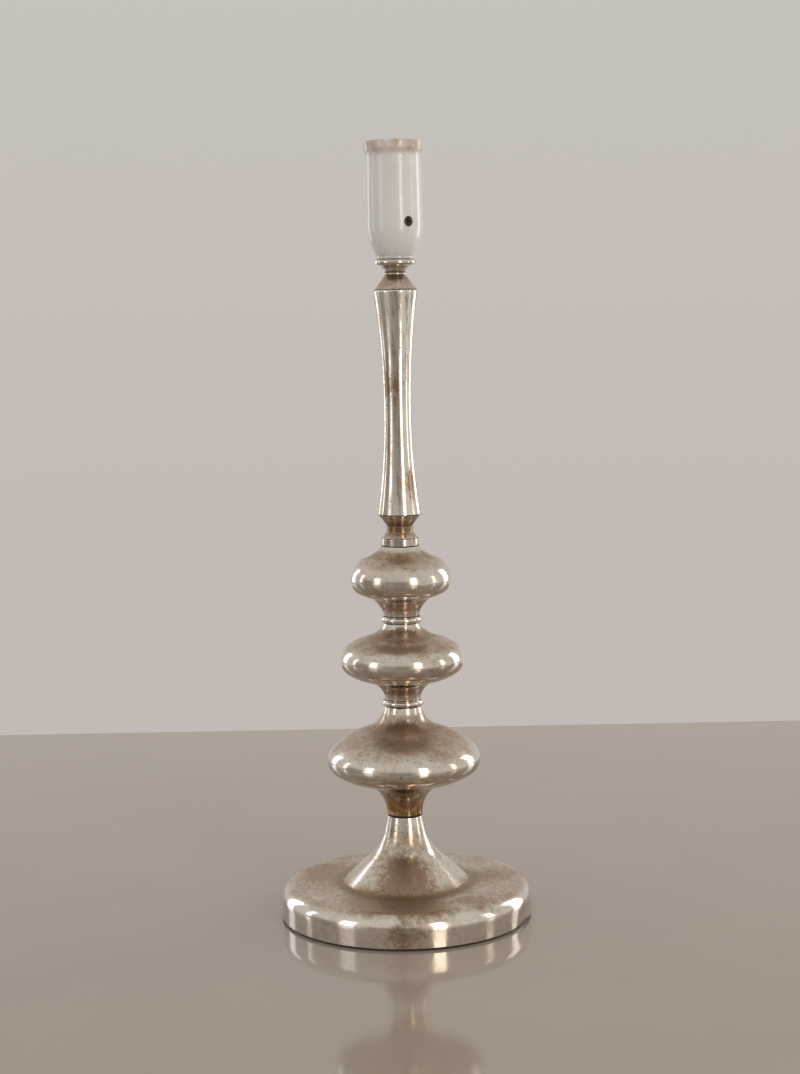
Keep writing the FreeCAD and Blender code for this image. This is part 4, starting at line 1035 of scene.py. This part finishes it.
# %% Thread tree
thread, put, given = tree_with("rolled thread", Pitch="Float", Depth="Float")
parts, flat = flattened(put, put(HERE))
angle = put(MATH, parts["Y"], parts["X"], operation="ARCTAN2")
climb = put(MATH, parts["Z"], given["Pitch"], operation="DIVIDE")
climb = put(MATH, climb, math.tau, **TIMES)
wave = put(MATH, put(MATH, climb, angle, operation="SUBTRACT"), operation="COSINE")
wave = put(RANGE, wave, -1.0, 1.0, 0.0, given["Depth"])
weight = put(STORED, {"Name": "polish"}, data_type="FLOAT")
push = put(MATH, wave, weight, **TIMES)
finish_moved(put, given, put(VECTOR, flat, operation="NORMALIZE"), push)
print("thread tree:", len(thread.nodes), "nodes")

# %% Thread
THREAD_MINOR, THREAD_DEPTH, THREAD_PITCH = 6.185, 0.8, 2.822  # mm
SHELL_WALL = 0.35
FLANGE_RADIUS = 11.2
SKIRT = 3.8
THREAD_ROW = 0.2  # mm between rows of points along the thread
PLAIN_FOOT, PLAIN_TOP = 0.4, 0.2  # mm left round at the thread's two ends

low, high = (corner.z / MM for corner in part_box("thread_shell"))
start = low + SKIRT
steps = round((high - start) / THREAD_ROW)
rows = [start + (high - start) * i / steps for i in range(steps + 1)]
inner = THREAD_MINOR + THREAD_DEPTH
profile = [(inner, low), (FLANGE_RADIUS, low), (FLANGE_RADIUS, low + SHELL_WALL),
           (inner + SHELL_WALL, low + SHELL_WALL), (inner + SHELL_WALL, start + SHELL_WALL),
           (THREAD_MINOR + SHELL_WALL, start + SHELL_WALL)]
profile += [(THREAD_MINOR + SHELL_WALL, z) for z in rows if z > start + SHELL_WALL]
profile += [(THREAD_MINOR, z) for z in rows[::-1]]
profile.append((inner, start))
mesh = outline_mesh("thread_outline", profile)
ease = [max(0.0, min(1.0, (z - start - PLAIN_FOOT) / THREAD_PITCH,
                     (high - z - PLAIN_TOP) / THREAD_PITCH))
        if r < inner else 0.0 for r, z in profile]
mesh.attributes["polish"].data.foreach_set("value", ease)
sleeve = grown("sleeve", mesh, lathe, Segments=96, Sharp_Angle=SHARP, Material=brass)
shell = reshaped("thread_shell_rolled", sleeve, thread, Material=brass,
                 Pitch=THREAD_PITCH * MM, Depth=THREAD_DEPTH * MM)
stands_for(shell, "thread_shell")
print("thread shell:", len(shell.data.polygons), "faces")

# %% [markdown]
# ## Screws with slots
#
# The screws of the shell and of the housing are cheese-head screws. One blank is spun from
# the CAD's own half section; a tree cuts its slot and puts it on each place.

# %% Slot tree
BAR_LENGTH = 10  # mm, longer than any head is wide

slots, put, given = tree_with("slotted screws", Blank="Object", Head_Top="Float", Slot="Float")
blank = put("GeometryNodeObjectInfo", {"Object": given["Blank"]}).outputs["Geometry"]
size = put(JOIN, BAR_LENGTH * MM, given["Slot"], put(MATH, given["Slot"], 2.0, **TIMES))
bar = put("GeometryNodeMeshCube", {"Size": size})
lift = put(JOIN, {"Z": given["Head Top"]})
bar = put("GeometryNodeTransform", {"Geometry": bar, "Translation": lift})
screw = put("GeometryNodeMeshBoolean", {"Mesh 1": blank, "Mesh 2": bar},
            operation="DIFFERENCE", solver="EXACT")
turn = put(STORED, {"Name": "turn"}, data_type="FLOAT_VECTOR")
placed = put("GeometryNodeInstanceOnPoints",
             {"Points": given["Geometry"], "Instance": screw, "Rotation": turn})
finish_tree(put, given, placed)
print("slot tree:", len(slots.nodes), "nodes")

# %% Screws
SHELL_SLOT, HOUSING_SLOT = 0.5, 0.6  # mm, both the width and the depth
SLOT_TURNS = (0.5, 1.9)  # radians, as the last hand left them


def slotted(node, places, to_axis, slot):
    """Slotted screws at (place, turn) pairs, in metres and radians, with slots in mm."""
    section = lathe_outline(node, edge=0.12, to_axis=to_axis)
    blank = spun("blank", section, zinc, 40)
    mesh = bpy.data.meshes.new("places")
    mesh.from_pydata([place for place, turn in places], [], [])
    turns = mesh.attributes.new("turn", "FLOAT_VECTOR", "POINT")
    turns.data.foreach_set("vector", [value for place, turn in places for value in turn])
    piece = grown(node + "_slotted", mesh, slots, Blank=blank, Material=zinc,
                  Head_Top=max(p.y for p in section) * MM, Slot=slot * MM)
    bpy.data.objects.remove(blank)
    piece.data.set_sharp_from_angle(angle=SHARP)
    stands_for(outward(piece), node)


low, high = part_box("shell_screws")
SCREW_CIRCLE = (high.y - low.y - (high.x - low.x)) / 2
places = [(Vector((0, side * SCREW_CIRCLE, 0)), (0, 0, turn))
          for side, turn in zip((1, -1), SLOT_TURNS)]
slotted("shell_screws", places, Matrix.Translation((0, -SCREW_CIRCLE, 0)), SHELL_SLOT)
lying = upright_to_radius(HOLE_BEARINGS[1], HOLE_LEVEL)
slotted("retaining_screw", [(lying.translation, tuple(lying.to_euler()))], lying.inverted(),
        HOUSING_SLOT)
print("screws on a circle of", round(SCREW_CIRCLE / MM, 2), "mm")

# %% [markdown]
# ## Felt
#
# The felt's edge shows as a dark line under the foot. It is spun, and its edge is roughed
# by noise of the fibre's size.

# %% Felt pad
FIBRE, ROUGH = 1.2, 0.5  # mm, grain and depth of the nap
NAP_FROM = 60  # mm from the axis, so that only the edge is roughed

nap, put, given = tree_with("felt nap", Fibre="Float", Rough="Float")
scale = put(MATH, 1.0, given["Fibre"], operation="DIVIDE")
noise = put(NOISE, {"Vector": put(HERE), "Scale": scale})
flat = flattened(put, put(HERE))[1]
reach = put(VECTOR, flat, operation="LENGTH").outputs["Value"]
rim = put("FunctionNodeCompare", {"A": reach, "B": NAP_FROM * MM}, **LARGER)
deep = put(MATH, put(MATH, noise, given["Rough"], **TIMES), rim, **TIMES)
deep = put(MATH, deep, -1.0, **TIMES)
finish_moved(put, given, put(VECTOR, flat, operation="NORMALIZE"), deep)

disc = spun("felt_disc", lathe_outline("felt_pad", edge=0.3), felt, 288, sharp=math.pi)
pad = reshaped("felt_pad_rough", disc, nap, Fibre=FIBRE * MM, Rough=ROUGH * MM, Material=felt)
stands_for(pad, "felt_pad")
print("felt pad:", len(pad.data.polygons), "faces")

# %% [markdown]
# ## Pieces that keep their CAD mesh
#
# The block, the strip, the terminals, the tube and what is inside the foot have the right
# shape already. Each gets the finish of its material slot.

# %% Finish the CAD pieces
FINISH = {"steel": zinc, "cast_iron": iron, "bare_brass": brass, "bronze": bronze,
          "ceramic": ceramic}

kept = [name for name, piece in frame["nodes"].items() if not piece.hide_render]
for name in kept:
    for slot in frame["nodes"][name].material_slots:
        slot.material = FINISH[SLOTS[name]]
print("CAD meshes kept:", len(kept))
